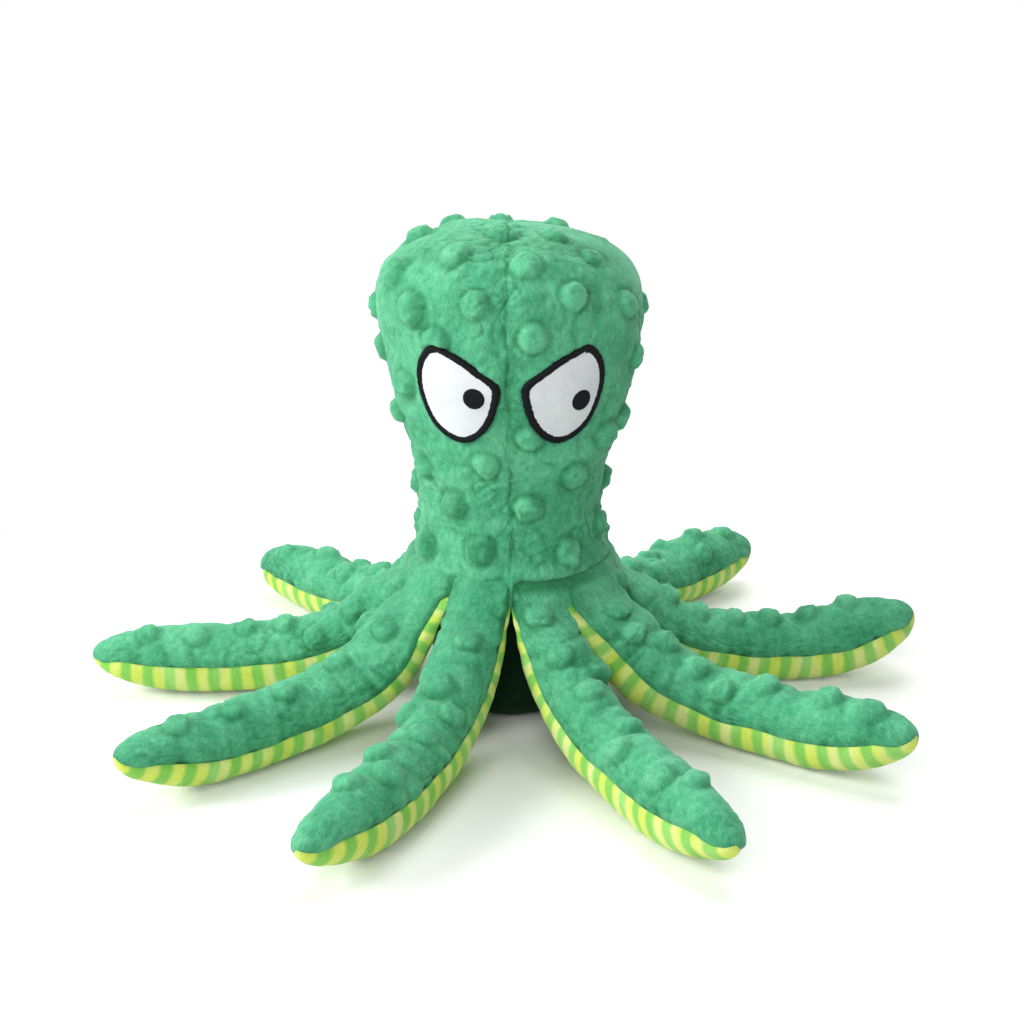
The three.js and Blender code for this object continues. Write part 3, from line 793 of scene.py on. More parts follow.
headCloth = {
    "swell": ((0.9 * mm, 26 * mm, 1), (0.45 * mm, 9 * mm, 2)),
    "grain": ((0.24 * mm, 3.4 * mm, 4), (0.16 * mm, 1.7 * mm, 6)),
    "wrinkle": {"size": 9 * mm, "width": 0.13, "patch": 21 * mm, "between": (0, 0.45), "seeds": (73, 72)},
    "wrinkleDepth": 0.5 * mm, "wrinkleWay": (1, 1, 0.8),
    "crinkle": {"size": 3.6 * mm, "width": 0.2, "patch": 16 * mm, "between": (0, 0.5), "seeds": (77, 76)},
    "crinkleDepth": 0.32 * mm, "crinkleWay": (0.6, 0.6, 1),
    "pucker": (1 * mm, 4 * mm, 3), "puckerWay": (0.5, 0.5, 1), "puckerReach": 7 * mm,
    "crownFold": {"height": 173.6 * mm, "drop": 9 * mm, "depth": 0.4 * mm, "reach": 2.4 * mm,
                  "steepReach": 0.35, "frontFrom": 0.4, "usual": 0.7, "uneven": (0.6, 12 * mm, 75)},
    "shoulderDrop": 3.6 * mm,            # how much rounder the crown is on its right
    "shoulderTurns": ((20, 75), (175, 110)), "shoulderHeights": (147 * mm, 163 * mm),
    "eyeFrom": (-1.2 * mm, 0.6 * mm), "eyeDepth": 0.9 * mm,
    "eyeRidge": 0.5 * mm, "eyeRidgeAway": 1.8 * mm, "eyeRidgeReach": 1.5 * mm,
    "waistRoll": 1.9 * mm, "rollUp": 4.2 * mm, "rollReach": 3.2 * mm,
    "rollUneven": (0.4, 15 * mm, 63), "rollToRight": 0.25,
    "seamUsual": 0.82, "seamUneven": (0.6, 3.6 * mm, 7),
    "lowest": -1.6 * mm, "lowestFrom": (4 * mm, 13 * mm),      # no slit above the arm roots
    "footHalfWidth": 1.9 * mm, "footRise": 7 * mm, "footMove": (0, -5.4 * mm, -5 * mm),
    "toneLumps": ((0.6, 9 * mm, 2), (0.5, 3.4 * mm, 4)), "seamShadeLumps": (0.5, 5 * mm, 79),
    # shares of the painted shade in the seam groove, at the foot of the dots, in the wrinkles, crinkles and
    # crown fold; dotTone and hollow carry the dots' own tone and random darker patches
    "paintedShadeShares": {"seam": 0.5, "dotFootShade": 0.6, "wrinkle": 0.4, "crinkle": 0.4, "fold": 0.4, "dotTone": 0.5,
                   "hollow": 0.4},
    "raisedShares": {"dot": 0.25, "dotTone": 0.5}, "dotFrom": 1 * mm,
}
headPanels = [("headFrontRight", "head_front_right_panel"), ("headBackRight", "head_back_right_panel"),
              ("headBackLeft", "head_back_left_panel"), ("headFrontLeft", "head_front_left_panel")]


def headSeams(quarter, part, radius, height):
    # distance to the nearer seam of a panel, and how sharply that seam draws the cloth in
    gap = np.minimum(part, 1 - part) * np.pi / 2 * radius
    onSideSeam = (quarter + (part > 0.5)) % 2 == 1
    share = np.where(onSideSeam, head["sideSeamShare"], 1)
    share = share * (1 - head["seamFade"] * smooth(*head["seamFadeHeights"], height))
    return gap, share * np.exp(-(gap / head["seamReach"]) ** 1.5)


def crownFoldAt(place, outward, azimuth):
    fold = headCloth["crownFold"]
    height = fold["height"] - fold["drop"] * (1 - np.cos(azimuth))
    depth = hill(place[..., 2], height, fold["reach"] * (fold["steepReach"] + outward[..., 2]))
    depth = depth * smooth(0, fold["frontFrom"], np.cos(azimuth))
    return depth * (fold["usual"] + layered(place, [fold["uneven"]]))


def shoulderAt(signed, height):
    (low, high), (farLow, farHigh) = headCloth["shoulderTurns"]
    turn = np.degrees(signed)
    share = smooth(low, high, turn) * smooth(farLow, farHigh, turn)
    return share * smooth(*headCloth["shoulderHeights"], height)


def waistRollAt(place, azimuth, up, firm):
    # the roll of cloth just above the waist seam
    uneven = 1 + layered(place, [headCloth["rollUneven"]]) + headCloth["rollToRight"] * np.sin(azimuth)
    roll = headCloth["waistRoll"] * (0.6 + 0.6 * firm) * uneven
    return roll * hill(up, headCloth["rollUp"], headCloth["rollReach"])


def seamFoot(tuck, sideways, up):
    # the bunched foot of the front seam
    share = np.clip(1 - up / headCloth["footRise"], 0, 1) ** 1.5
    share = share * hill(sideways, 0, headCloth["footHalfWidth"])
    return share[..., None] * (tuck + np.array(headCloth["footMove"]))


def makeHeadPanels():
    dots, dotSizes, tones = headDots()
    folds, foldsTop = headFolds()
    run = np.linspace(0, profile[0][-1], head["rows"])
    look, paintedShadeShares, raisedShares = headCloth, headCloth["paintedShadeShares"], headCloth["raisedShares"]
    for quarter, (title, name) in enumerate(headPanels):
        part, up = np.meshgrid(crowded(head["columns"], head["crowding"]), run)
        radius = np.maximum(np.interp(up, profile[0], profile[1]), 4 * mm)
        sway = seamSway(up, quarter) * (1 - part) + seamSway(up, quarter + 1) * part
        azimuth = (quarter + part) * np.pi / 2 + sway / radius
        signed = (azimuth + np.pi) % (2 * np.pi) - np.pi
        place, outward = onHead(azimuth, up)
        seamGap, groove = headSeams(quarter, part, radius, place[..., 2])
        inEye = insideEye(signed, place[..., 2]) if quarter in (0, 3) else np.full(azimuth.shape, -1.0)
        flatEye = smooth(*look["eyeFrom"], inEye)
        fading = 1 - flatEye
        firm = waistCrease(azimuth)
        dotHeight, dotTone, dotFootShade = dotLift(place, dots, dotSizes, tones, dotShape["headEdge"])
        wrinkle = creases(place * look["wrinkleWay"], place, look["wrinkle"])
        crinkle = creases(place * look["crinkleWay"], place, look["crinkle"])
        pucker = layered(place * look["puckerWay"], [look["pucker"]]) * np.exp(-seamGap / look["puckerReach"])
        fold = crownFoldAt(place, outward, azimuth)

        lift = head["foldShare"] * resampled(folds[quarter], run / foldsTop, part[0])
        lift = lift + layered(place, look["swell"]) - look["crownFold"]["depth"] * fold
        lift = lift - look["shoulderDrop"] * shoulderAt(signed, place[..., 2])
        free = dotHeight + layered(place, look["grain"]) + pucker + frontKnot(place)
        free = free - look["wrinkleDepth"] * wrinkle - look["crinkleDepth"] * crinkle
        lift = lift + free * fading - look["eyeDepth"] * flatEye
        lift = lift + look["eyeRidge"] * hill(inEye, -look["eyeRidgeAway"], look["eyeRidgeReach"])
        lift = lift + waistRollAt(place, azimuth, up, firm)
        lift = lift - head["seamDepth"] * groove * (look["seamUsual"] + layered(place, [look["seamUneven"]]))
        lift = np.maximum(lift, look["lowest"] * smooth(*look["lowestFrom"], up))

        hem = np.clip(1 - up / head["hemReach"], 0, 1) ** 2
        tucked = hem * head["hemDepth"] * (head["softHemShare"] + (1 - head["softHemShare"]) * firm)
        tuck = np.stack([np.sin(azimuth), -np.cos(azimuth), 0 * azimuth], axis=-1) * tucked[..., None]
        inside = -head["thickness"] - head["seamDepth"] * groove - look["eyeDepth"] * flatEye
        foot = seamFoot(tuck, signed * radius, up)
        outer = place + outward * (lift * (1 - hem))[..., None] - tuck + foot
        inner = place + outward * inside[..., None] - tuck + foot
        outer[-1], inner[-1] = outer[-1].mean(axis=0), inner[-1].mean(axis=0)

        cloth = np.stack([up, (azimuth - (quarter + 0.5) * np.pi / 2) * radius], axis=-1)
        relief = layered(place, look["toneLumps"]) * fading
        # painted shade: darker at the dots' feet, in the wrinkles, crinkles and crown fold, in the seam
        # groove and under the waist roll, mixed with the dots' own tone and random darker patches
        sunk = paintedShadeShares["dotFootShade"] * dotFootShade - paintedShadeShares["dotTone"] * dotTone + paintedShadeShares["fold"] * fold
        sunk = (sunk + paintedShadeShares["wrinkle"] * wrinkle + paintedShadeShares["crinkle"] * crinkle) * fading
        sunk = sunk + groove * (paintedShadeShares["seam"] + layered(place, [look["seamShadeLumps"]])) + hem * firm
        raised = raisedShares["dot"] * (dotHeight > look["dotFrom"]) + raisedShares["dotTone"] * dotTone
        values = {"raised": np.clip(raised * fading + np.maximum(relief, 0), 0, 1),
                  "sunk": np.clip(sunk + paintedShadeShares["hollow"] * np.maximum(-relief, 0), 0, 1)}
        piece = clothPiece(title + "Cloth", outer, inner, cloth, values)
        piece.data.materials.append(pile)
        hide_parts(name)
        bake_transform(piece)
    print("head cloth made,", len(dots), "dots")


def whiteCrown(spots):
    # how far the white patch stands out: full in its middle and lower near the stitching
    offset = (spots - eyeSpot(eye["centreShares"])) / np.array([eye["width"], eye["height"]])
    return eye["whiteLift"] + eye["whiteSwell"] * np.exp(-5.5 * (offset ** 2).sum(axis=-1))


def makeEyeWhite(sideName, side, middle, rimLine):
    # a patch, slightly crowned, its edge under the stitching
    shares = np.concatenate([np.linspace(0, 0.9, 26), np.linspace(0.92, 1, 6)])
    ring = np.concatenate([rimLine, rimLine[:1]])
    spots = middle + (ring - middle)[None] * shares[:, None, None]
    place = onFace(spots, whiteCrown(spots), side)
    under = onFace(spots, -eye["bed"] + 0 * spots[..., 0], side)
    white = clothPiece(sideName + "EyeWhite", place, under, spots, {}, "disc")
    white.data.materials.append(eyeCloth)
    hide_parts(sideName + "_eye_white")
    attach(white, "head")


def makeEyeRim(sideName, side, outline, inward, rimWidth, chance):
    # satin stitches across the edge of the patch
    ahead = np.roll(outline, -1, axis=0) - np.roll(outline, 1, axis=0)
    run = np.concatenate([[0], np.cumsum(np.linalg.norm(ahead, axis=1) / 2)])[:-1]
    thread = run / eye["thread"]
    ragged = np.interp(thread, np.arange(600), chance.uniform(-eye["rimRagged"], eye["rimRagged"], 600))
    lines, lifts = [], []
    for share in np.linspace(0, 1, 15):
        inset = ragged - eye["rimOverlap"] + (rimWidth + eye["rimOverlap"] - ragged * 2) * share
        bulge = np.sqrt(np.maximum(1 - (2 * share - 1) ** 2, 0)) ** 0.8
        ridge = np.abs(np.cos(np.pi * (thread + share * eye["rimSlant"]))) ** 0.6
        lines.append(outline + inward * inset[:, None])
        height = eye["rimLift"] + eye["rimEdge"] + eye["rimRidge"] * (ridge - 1)
        lifts.append(height * bulge - eye["rimEdge"])
    lines, lifts = np.array(lines), np.array(lifts)
    lines = np.concatenate([lines, lines[:, :1]], axis=1)
    lifts = np.concatenate([lifts, lifts[:, :1]], axis=1)
    place = onFace(lines, lifts, side)
    under = onFace(lines, -eye["bed"] + 0 * lifts, side)
    rim = clothPiece(sideName + "EyeRim", place, under, lines, {}, "ring")
    rim.data.materials.append(blackThread)
    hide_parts(sideName + "_eye_rim")
    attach(rim, "head")


def makePupil(sideName, side):
    # level satin stitches
    centre = eyeSpot(eye["pupilShares"][sideName])
    shares = np.concatenate([np.linspace(0, 0.86, 26), np.linspace(0.89, 1, 6)])
    turn = np.linspace(0, 2 * np.pi, 121)
    edge = 1 + eye["pupilEdge"] * np.sign(np.sin(turn * eye["pupilStitches"])) * np.abs(np.cos(turn))
    offset = shares[:, None] * eye["pupilRadius"] * edge
    spots = np.stack([centre[0] + offset * np.cos(turn), centre[1] + offset * np.sin(turn)], axis=-1)
    bed = whiteCrown(spots)
    across = spots[..., 1] + eye["pupilSlant"] * spots[..., 0]
    ridge = np.abs(np.cos(np.pi * across / eye["thread"])) ** 0.6
    dome = np.sqrt(np.maximum(1 - shares ** 6, 0))[:, None]
    place = onFace(spots, bed + (eye["pupilLift"] + eye["pupilRidge"] * (ridge - 1)) * dome, side)
    under = onFace(spots, bed - eye["pupilBed"], side)
    pupil = clothPiece(sideName + "Pupil", place, under, spots, {}, "disc")
    pupil.data.materials.append(blackThread)
    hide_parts(sideName + "_pupil")
    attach(pupil, "head")


def makeEyes():
    middle = eyeSpot(eye["centreShares"])
    outline = eyeOutline(900)
    inward = middle - outline
    inward /= np.linalg.norm(inward, axis=1, keepdims=True)
    slant = smooth(*eye["slantFrom"], (outline[:, 1] - eye["rise"]) / eye["height"])
    slant = slant * (outline[:, 0] < eye["inset"] + eye["slantWidthShare"] * eye["width"])
    rimWidth = eye["rimWidth"] + (eye["slantRimWidth"] - eye["rimWidth"]) * slant
    patchLine = outline[::9] + inward[::9] * (rimWidth[::9] * eye["whiteUnderRim"])[:, None]
    chance = np.random.RandomState(21)
    for side, sideName in ((-1, "left"), (1, "right")):
        makeEyeWhite(sideName, side, middle, patchLine)
        makeEyeRim(sideName, side, outline, inward, rimWidth, chance)
        makePupil(sideName, side)
    print("eyes made")


# Arms

arm = {
    "length": 143 * mm, "width": 26.5 * mm, "thickness": 25.4 * mm,
    "rootWidth": 26.8 * mm, "rootHalfThickness": 1.35 * mm, "waistFit": 16 * mm,
    "rootTuck": 3 * mm, "rootTuckIn": 2.3 * mm,
    "tipRun": 48 * mm, "topRun": 28 * mm, "underRun": 42 * mm, "widthRun": 20 * mm,
    "turnRun": 25 * mm, "bend": 1.9, "rootRadius": 37.28 * mm, "pitch": 40,
    "slimFrom": (35 * mm, 85 * mm), "slimTo": (141 * mm, 112 * mm),
    "tipTopFrom": (88 * mm, 118 * mm), "tipTopShare": 2.2,
    "clothThickness": 1.2 * mm, "lowestOuter": 0.05 * mm, "lowestInner": 0.6 * mm,
    "bodyRows": 140, "tipRows": 64, "upperColumns": 86, "underColumns": 52, "crowding": 0.7,
    "coarseRows": 84, "coarseUpper": 30, "coarseUnder": 20, "foldShare": 0.55, "foldsEnd": 1.2 * mm,
    "noFoldsFrom": (45 * mm, 12 * mm),
    "seamDepth": 0.65 * mm, "seamReach": 1.0 * mm, "seamSway": 3, "seamWrap": 4, "tipWrap": 26,      # degrees
    "dotRoom": 15 * mm, "dotHeightShare": 0.88, "girth": 13 * mm, "dotSizes": (0.9, 1.08),
    "dotTones": (-0.2, 0.35),
    "stuffingInset": 2.6 * mm, "stuffingUneven": 0.5 * mm, "stuffingLumps": 8 * mm,
    "hingeRun": (1 * mm, 18 * mm),      # the stretch over which a lifted arm bends, from the waist seam
}
# place: steps of the pitch round from the front; lean, sweep and curl turn the arm sideways, degrees;
# lift: how far its tip rises, as a share of its thickness; roll: how far it lies turned, degrees;
# shorter: mm; blunt: shape of the tip, 2 is round and more is blunter; folds: how deep its folds are;
# slimmer: mm off its left and right side past the middle; tipTop: mm by which the top of the tip is fuller;
# leftWider, rightWider: mm by which a side is wider at the root stops, leftTurn, rightTurn: degrees by which
# its seam climbs there; dots: mm along the arm from the waist, degrees up round it from its right side
rootStops = (0, 15 * mm, 38 * mm, 65 * mm)
armUsual = {"slimmer": (0, 0), "tipTop": 0, "leftWider": (0, 0, 0), "rightWider": (0, 0, 0),
            "leftTurn": (0, 0, 0), "rightTurn": (0, 0, 0)}
armPlaces = [
    {"place": 0.5, "lean": 4, "sweep": 22.5, "curl": -27.5, "lift": 0.23, "roll": -18,
     "shorter": 2.4, "blunt": 2.1, "folds": 0.75, "slimmer": (-1.0, 3.4), "rightWider": (-5.2, -3.4, -0.4),
     "dots": [(9, 112), (28, 112), (49, 94), (74, 84), (84, 126), (107, 118), (116, 80), (38, 52)]},
    {"place": 1.5, "lean": 1.5, "sweep": 16.5, "curl": -35.5, "lift": 0.43, "roll": -7,
     "shorter": 1.6, "blunt": 2.6, "folds": 0.6, "tipTop": 1.5,
     "leftWider": (6.5, 10.0, 7.5), "leftTurn": (18, 22, 21),
     "dots": [(14, 110), (26, 124), (40, 96), (58, 108), (71, 132), (86, 92), (111, 96), (130, 100)]},
    {"place": 2.5, "lean": -1.5, "sweep": -2.5, "curl": -6, "lift": 0.58, "roll": -8,
     "shorter": 0, "blunt": 3.4, "folds": 0.7, "tipTop": 2.2, "leftWider": (2.0, 1.5, 0),
     "dots": [(34, 96), (51, 104), (68, 102), (84, 96), (99, 92), (119, 84)]},
    {"place": 3.5, "lean": 10, "sweep": 5, "curl": -43.5, "lift": 0.24, "roll": -8,
     "shorter": 0, "blunt": 3.2, "folds": 0.9, "slimmer": (-1.0, 0), "tipTop": 2.6,
     "dots": [(62, 100), (84, 80), (113, 84), (76, 128), (109, 134), (130, 92)]},
    {"place": -3.5, "lean": 4, "sweep": 15.5, "curl": -16.5, "lift": 0, "roll": 8,
     "shorter": 3.4, "blunt": 2.5, "folds": 0.8, "tipTop": 0.6,
     "dots": [(99, 98), (79, 66), (48, 50), (80, 112), (120, 60), (40, 82), (60, 88), (28, 96), (16, 92)]},
    {"place": -2.5, "lean": 6, "sweep": 23.5, "curl": -16, "lift": 0.13, "roll": 10,
     "shorter": 0, "blunt": 2.4, "folds": 0.4, "rightWider": (2.0, 1.5, 0),
     "dots": [(122, 76), (103, 66), (84, 80), (68, 80), (56, 38), (34, 56)]},
    {"place": -1.5, "lean": -3, "sweep": 27, "curl": -10.5, "lift": 0.32, "roll": 3,
     "shorter": 1.0, "blunt": 2.3, "folds": 0.5, "slimmer": (1.6, 0), "tipTop": -0.6,
     "leftWider": (1.5, 1.0, 0), "rightWider": (4.2, 5.6, 3.0), "rightTurn": (34, 27, 3),
     "dots": [(122, 82), (100, 76), (78, 76), (52, 82), (26, 64)]},
    {"place": -0.5, "lean": 0, "sweep": 3, "curl": -16, "lift": 0.2, "roll": 18,
     "shorter": 2.6, "blunt": 2.1, "folds": 0.6, "slimmer": (3.2, 0), "leftWider": (-5.4, -2.2, 0),
     "dots": [(20, 76), (46, 94), (61, 134), (58, 54), (92, 110), (75, 72), (102, 66), (114, 102)]},
]


def atRoot(along, values):
    return easedBetween(along, rootStops, (*values, 0))


def armLine(places):
    # the arm's middle line: run, points, and the directions ahead, sideways and up, in the object's frame
    count = 1200
    drop = head["waistHeight"] - arm["thickness"] / 2
    share = (np.arange(count) + 0.5) / count
    run = drop / np.sin(np.pi / 2 * (1 - share) ** arm["bend"]).mean()
    along = share * arm["length"]
    risen = along - run
    lift = places["lift"] * arm["thickness"]
    falling = np.pi / 2 * np.maximum(1 - along / run, 0) ** arm["bend"]
    rising = -np.arcsin(np.clip(2 * lift * np.maximum(risen, 0) / (arm["length"] - run) ** 2, 0, 1))
    down = np.where(risen < 0, falling, rising)
    turned = places["lean"] + places["sweep"] * share + places["curl"] * share ** 2
    heading = np.radians(turned * ease(0, 1, along / arm["turnRun"]))
    azimuth = math.radians(places["place"] * arm["pitch"])
    heading = heading + azimuth
    side = np.stack([np.cos(heading), np.sin(heading), 0 * heading], axis=1)
    ahead = np.stack([np.cos(down) * np.sin(heading), -np.cos(down) * np.cos(heading), -np.sin(down)], axis=1)
    up = np.cross(ahead, side)
    root = np.array([arm["rootRadius"] * math.sin(azimuth), -arm["rootRadius"] * math.cos(azimuth),
                     head["waistHeight"]])
    stride = arm["length"] / count
    points = root + np.concatenate([[[0, 0, 0]], np.cumsum(ahead * stride, axis=0)])
    outward = np.array([math.sin(azimuth), -math.cos(azimuth), 0])
    back = np.linspace(1, 0, 8)[:-1, None]      # the root turns in under the roll of the waist
    tucked = root + back * np.array([0, 0, arm["rootTuck"]]) - back ** 2 * outward * arm["rootTuckIn"]
    run = (along + stride / 2) * arm["length"] / (arm["length"] - places["shorter"] * mm)
    run = np.concatenate([-back[:, 0] * arm["rootTuck"], [0], run])
    return {"run": run, "points": np.concatenate([tucked, points]), "side": side, "up": up,
            "outward": outward, "places": places}


def alongLine(line, along):
    run, points, side, up = line["run"], line["points"], line["side"], line["up"]
    middles = run[-len(side):]
    at = np.stack([np.interp(along, run, points[:, axis]) for axis in range(3)], axis=-1)
    sideways = np.stack([np.interp(along, middles, side[:, axis]) for axis in range(3)], axis=-1)
    upward = np.stack([np.interp(along, middles, up[:, axis]) for axis in range(3)], axis=-1)
    return at, sideways, upward


def armSection(along, inset, blunt):
    body = arm["length"] - arm["tipRun"]
    tip = np.clip((along - body) / (arm["tipRun"] - inset), 0, 1)
    rounding = np.sqrt(1 - tip ** blunt)
    full = arm["thickness"] / 2
    width = (ease(arm["rootWidth"], arm["width"], along / arm["widthRun"]) / 2 - inset) * rounding
    top = (ease(arm["rootHalfThickness"], full, along / arm["topRun"]) - inset * 0.9) * rounding
    under = (ease(arm["rootHalfThickness"], full, along / arm["underRun"]) - inset * 0.9) * rounding
    closing = np.sqrt(np.clip(1 - (np.minimum(along, 0) / arm["rootTuck"]) ** 2, 0, 1))
    top, under = top * closing, under * closing
    return width, np.maximum(top, 0.1 * mm * rounding), np.maximum(under, 0.1 * mm * rounding)


def armStations(inset):
    body = arm["length"] - arm["tipRun"]
    tip = np.sin(np.linspace(0, np.pi / 2, arm["tipRows"]))[1:] * (arm["tipRun"] - inset)
    tuck = -arm["rootTuck"] * np.cos(np.linspace(0, np.pi / 2, 7))[:-1]
    return np.concatenate([tuck, np.linspace(0, body, arm["bodyRows"]), body + tip])


def armSurface(line, along, angle, inset=0.0):
    # places and outward directions; along and angle are grids, angle in radians up from the right side
    at, sideways, upward = alongLine(line, along)
    places = line["places"]
    width, top, under = armSection(along, inset, places["blunt"])
    onRight = smooth(-0.25, 0.25, np.cos(angle))
    left, right = places["slimmer"]
    slimmer = (left + (right - left) * onRight) * smooth(*arm["slimFrom"], along)
    slimmer = slimmer * smooth(*arm["slimTo"], along)
    left, right = atRoot(along, places["leftWider"]), atRoot(along, places["rightWider"])
    slimmer = slimmer - left - (right - left) * onRight
    width = width - slimmer * mm * np.abs(np.cos(angle))
    fuller = places["tipTop"] * mm * smooth(*arm["tipTopFrom"], along)
    fuller = fuller * np.sqrt(np.clip(1 - along / arm["length"], 0, 1))
    height = np.where(np.sin(angle) > 0, top + arm["tipTopShare"] * fuller, under)
    place = at + sideways * (width * np.cos(angle))[..., None] + upward * (height * np.sin(angle))[..., None]
    bend = (width * np.cos(angle)) ** 2 / (2 * arm["rootRadius"])      # the root follows the round waist
    place = place - line["outward"] * (bend * smooth(arm["waistFit"], 0, along))[..., None]
    flatX, flatZ = np.cos(angle) * height, np.sin(angle) * width
    length = np.hypot(flatX, flatZ) + 1e-9
    outward = sideways * (flatX / length)[..., None] + upward * (flatZ / length)[..., None]
    return place, outward


farDots = {      # mm along the arm and degrees round it, in a zigzag on the side away from the camera
    "rows": 14, "first": 8, "pitch": 10, "last": 128, "strayRun": 2, "strayTurn": 5,
    "onRight": (14, 46), "onLeft": (134, 166),
}


def armDots(line, places, number):
    # the dots that show, and more on the far side where they find room
    chance = np.random.RandomState(40 + number)
    spots = list(places["dots"])
    farSide = farDots["onRight"] if places["place"] > 0 else farDots["onLeft"]
    rows = farDots["rows"] if abs(places["place"]) > 1 else 0
    for row in range(rows):
        run = farDots["first"] + row * farDots["pitch"]
        run += chance.uniform(-farDots["strayRun"], farDots["strayRun"])
        spots.append((run, farSide[row % 2] + chance.uniform(-farDots["strayTurn"], farDots["strayTurn"])))
    centres, aheads = [], []
    for along, turn in spots:
        stations = np.array([along, along + 1]) * mm
        near, beyond = armSurface(line, stations, np.radians([turn, turn]))[0]
        gaps = [np.linalg.norm(near - other) for other in centres]
        if len(centres) < len(places["dots"]) or min(gaps) > arm["dotRoom"] and along < farDots["last"]:
            centres.append(near)
            aheads.append((beyond - near) / np.linalg.norm(beyond - near))
    sizes = chance.uniform(*arm["dotSizes"], len(centres))
    tones = chance.uniform(*arm["dotTones"], len(centres))
    return np.array(centres), sizes, tones, np.array(aheads)


crossFold = {      # mm along the arm and degrees round it; pairs are the least and the most
    "room": 9, "strayRun": 1.5, "strayTurn": 35, "slant": 5, "turns": (38, 62),
    "depth": (0.9, 1.5), "reach": (1.4, 2.4), "swellAway": 5, "swellReach": 2.8, "swellShare": 0.4,
}


def crossFolds(along, angle, places, number):
    # folds across the arm between its dots: a valley with a swelling on both sides
    chance = np.random.RandomState(60 + number)
    stops = sorted(spot[0] for spot in places["dots"])
    depth = np.zeros(along.shape)
    for low, high in zip(stops, stops[1:]):
        if high - low < crossFold["room"]:
            continue
        middle = (low + high) / 2 + chance.uniform(-crossFold["strayRun"], crossFold["strayRun"])
        turn = math.radians(90 + chance.uniform(-crossFold["strayTurn"], crossFold["strayTurn"]))
        slant = chance.uniform(-crossFold["slant"], crossFold["slant"])
        shift = along / mm - middle - slant * (angle - turn)
        side = hill(angle, turn, math.radians(chance.uniform(*crossFold["turns"])))
        strength = chance.uniform(*crossFold["depth"]) * places["folds"]
        valley = hill(shift, 0, chance.uniform(*crossFold["reach"]))
        swelling = hill(np.abs(shift), crossFold["swellAway"], crossFold["swellReach"])
        depth += strength * side * (valley - crossFold["swellShare"] * swelling) * mm
    return depth


gather = {      # mm; pairs are the least and the most
    "first": (10, 16), "end": 12, "pitch": (6, 13), "reach": (5, 15), "slant": (-0.35, 0.35),
    "width": (1.2, 2.2), "depth": (0.35, 1.15),
}


def gathers(along, fromSeam, number, seam):
    # creases that start at a seam and fade out towards the middle of the panel
    chance = np.random.RandomState(90 + number * 2 + seam)
    depth = np.zeros(along.shape)
    spot = chance.uniform(*gather["first"]) * mm
    while spot < arm["length"] - gather["end"] * mm:
        reach = chance.uniform(*gather["reach"]) * mm
        slant = chance.uniform(*gather["slant"])
        width = chance.uniform(*gather["width"]) * mm
        strength = chance.uniform(*gather["depth"]) * mm
        depth += strength * hill(along - slant * fromSeam, spot, width) * hill(fromSeam, 0, reach)
        spot += chance.uniform(*gather["pitch"]) * mm
    return depth


def armSeams(along, places, number):
    # where the right and the left seam lie round the arm
    turned = math.radians(places["roll"])
    seamWave = np.stack([along, 0 * along, 0 * along + number], axis=-1)
    sway = math.radians(arm["seamSway"])
    wrap = math.radians(arm["seamWrap"])
    wrap = wrap + math.radians(arm["tipWrap"]) * smooth(12 * mm, 1 * mm, arm["length"] - along)
    belowHem = smooth(2 * mm, 7 * mm, along)
    climbLeft = np.radians(atRoot(along, places["leftTurn"])) * belowHem
    climbRight = np.radians(atRoot(along, places["rightTurn"])) * belowHem
    lowRight = turned + sway * lumps(seamWave, 13 * mm, 8) - wrap + climbRight
    lowLeft = np.pi + turned + sway * lumps(seamWave + 5, 13 * mm, 9) + wrap - climbLeft
    return lowRight, lowLeft


def armFolds(line, places, number):
    # the simulated folds of the upper and the under panel
    upper, under = arm["coarseUpper"], arm["coarseUnder"]
    end = arm["length"] - arm["foldsEnd"]
    part = np.concatenate([np.arange(upper) / upper, 1 + np.arange(under) / under])
    along, part = np.meshgrid(np.linspace(0, end, arm["coarseRows"]), part, indexing="ij")
    lowRight, lowLeft = armSeams(along, places, number)
    angle = np.where(part < 1, lowRight + (lowLeft - lowRight) * part,
                     lowLeft + (lowRight + 2 * np.pi - lowLeft) * (part - 1))
    place, outward = armSurface(line, along, angle)
    held = (part == 0) | (part == 1)
    held[0] = held[-1] = True
    folds = swollen(place, outward, held)
    room = smooth(*arm["noFoldsFrom"], along) * np.abs(np.cos(angle))      # for the next arm
    folds = folds * (1 - room)
    folds = np.concatenate([folds, folds[:, :1]], axis=1)
    return folds[:, :upper + 1], folds[:, upper:], end


def hingeAtRoot(piece):
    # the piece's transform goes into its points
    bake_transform(piece)


# How the arms' cloth lies: layers of lumps have depth, size and seed

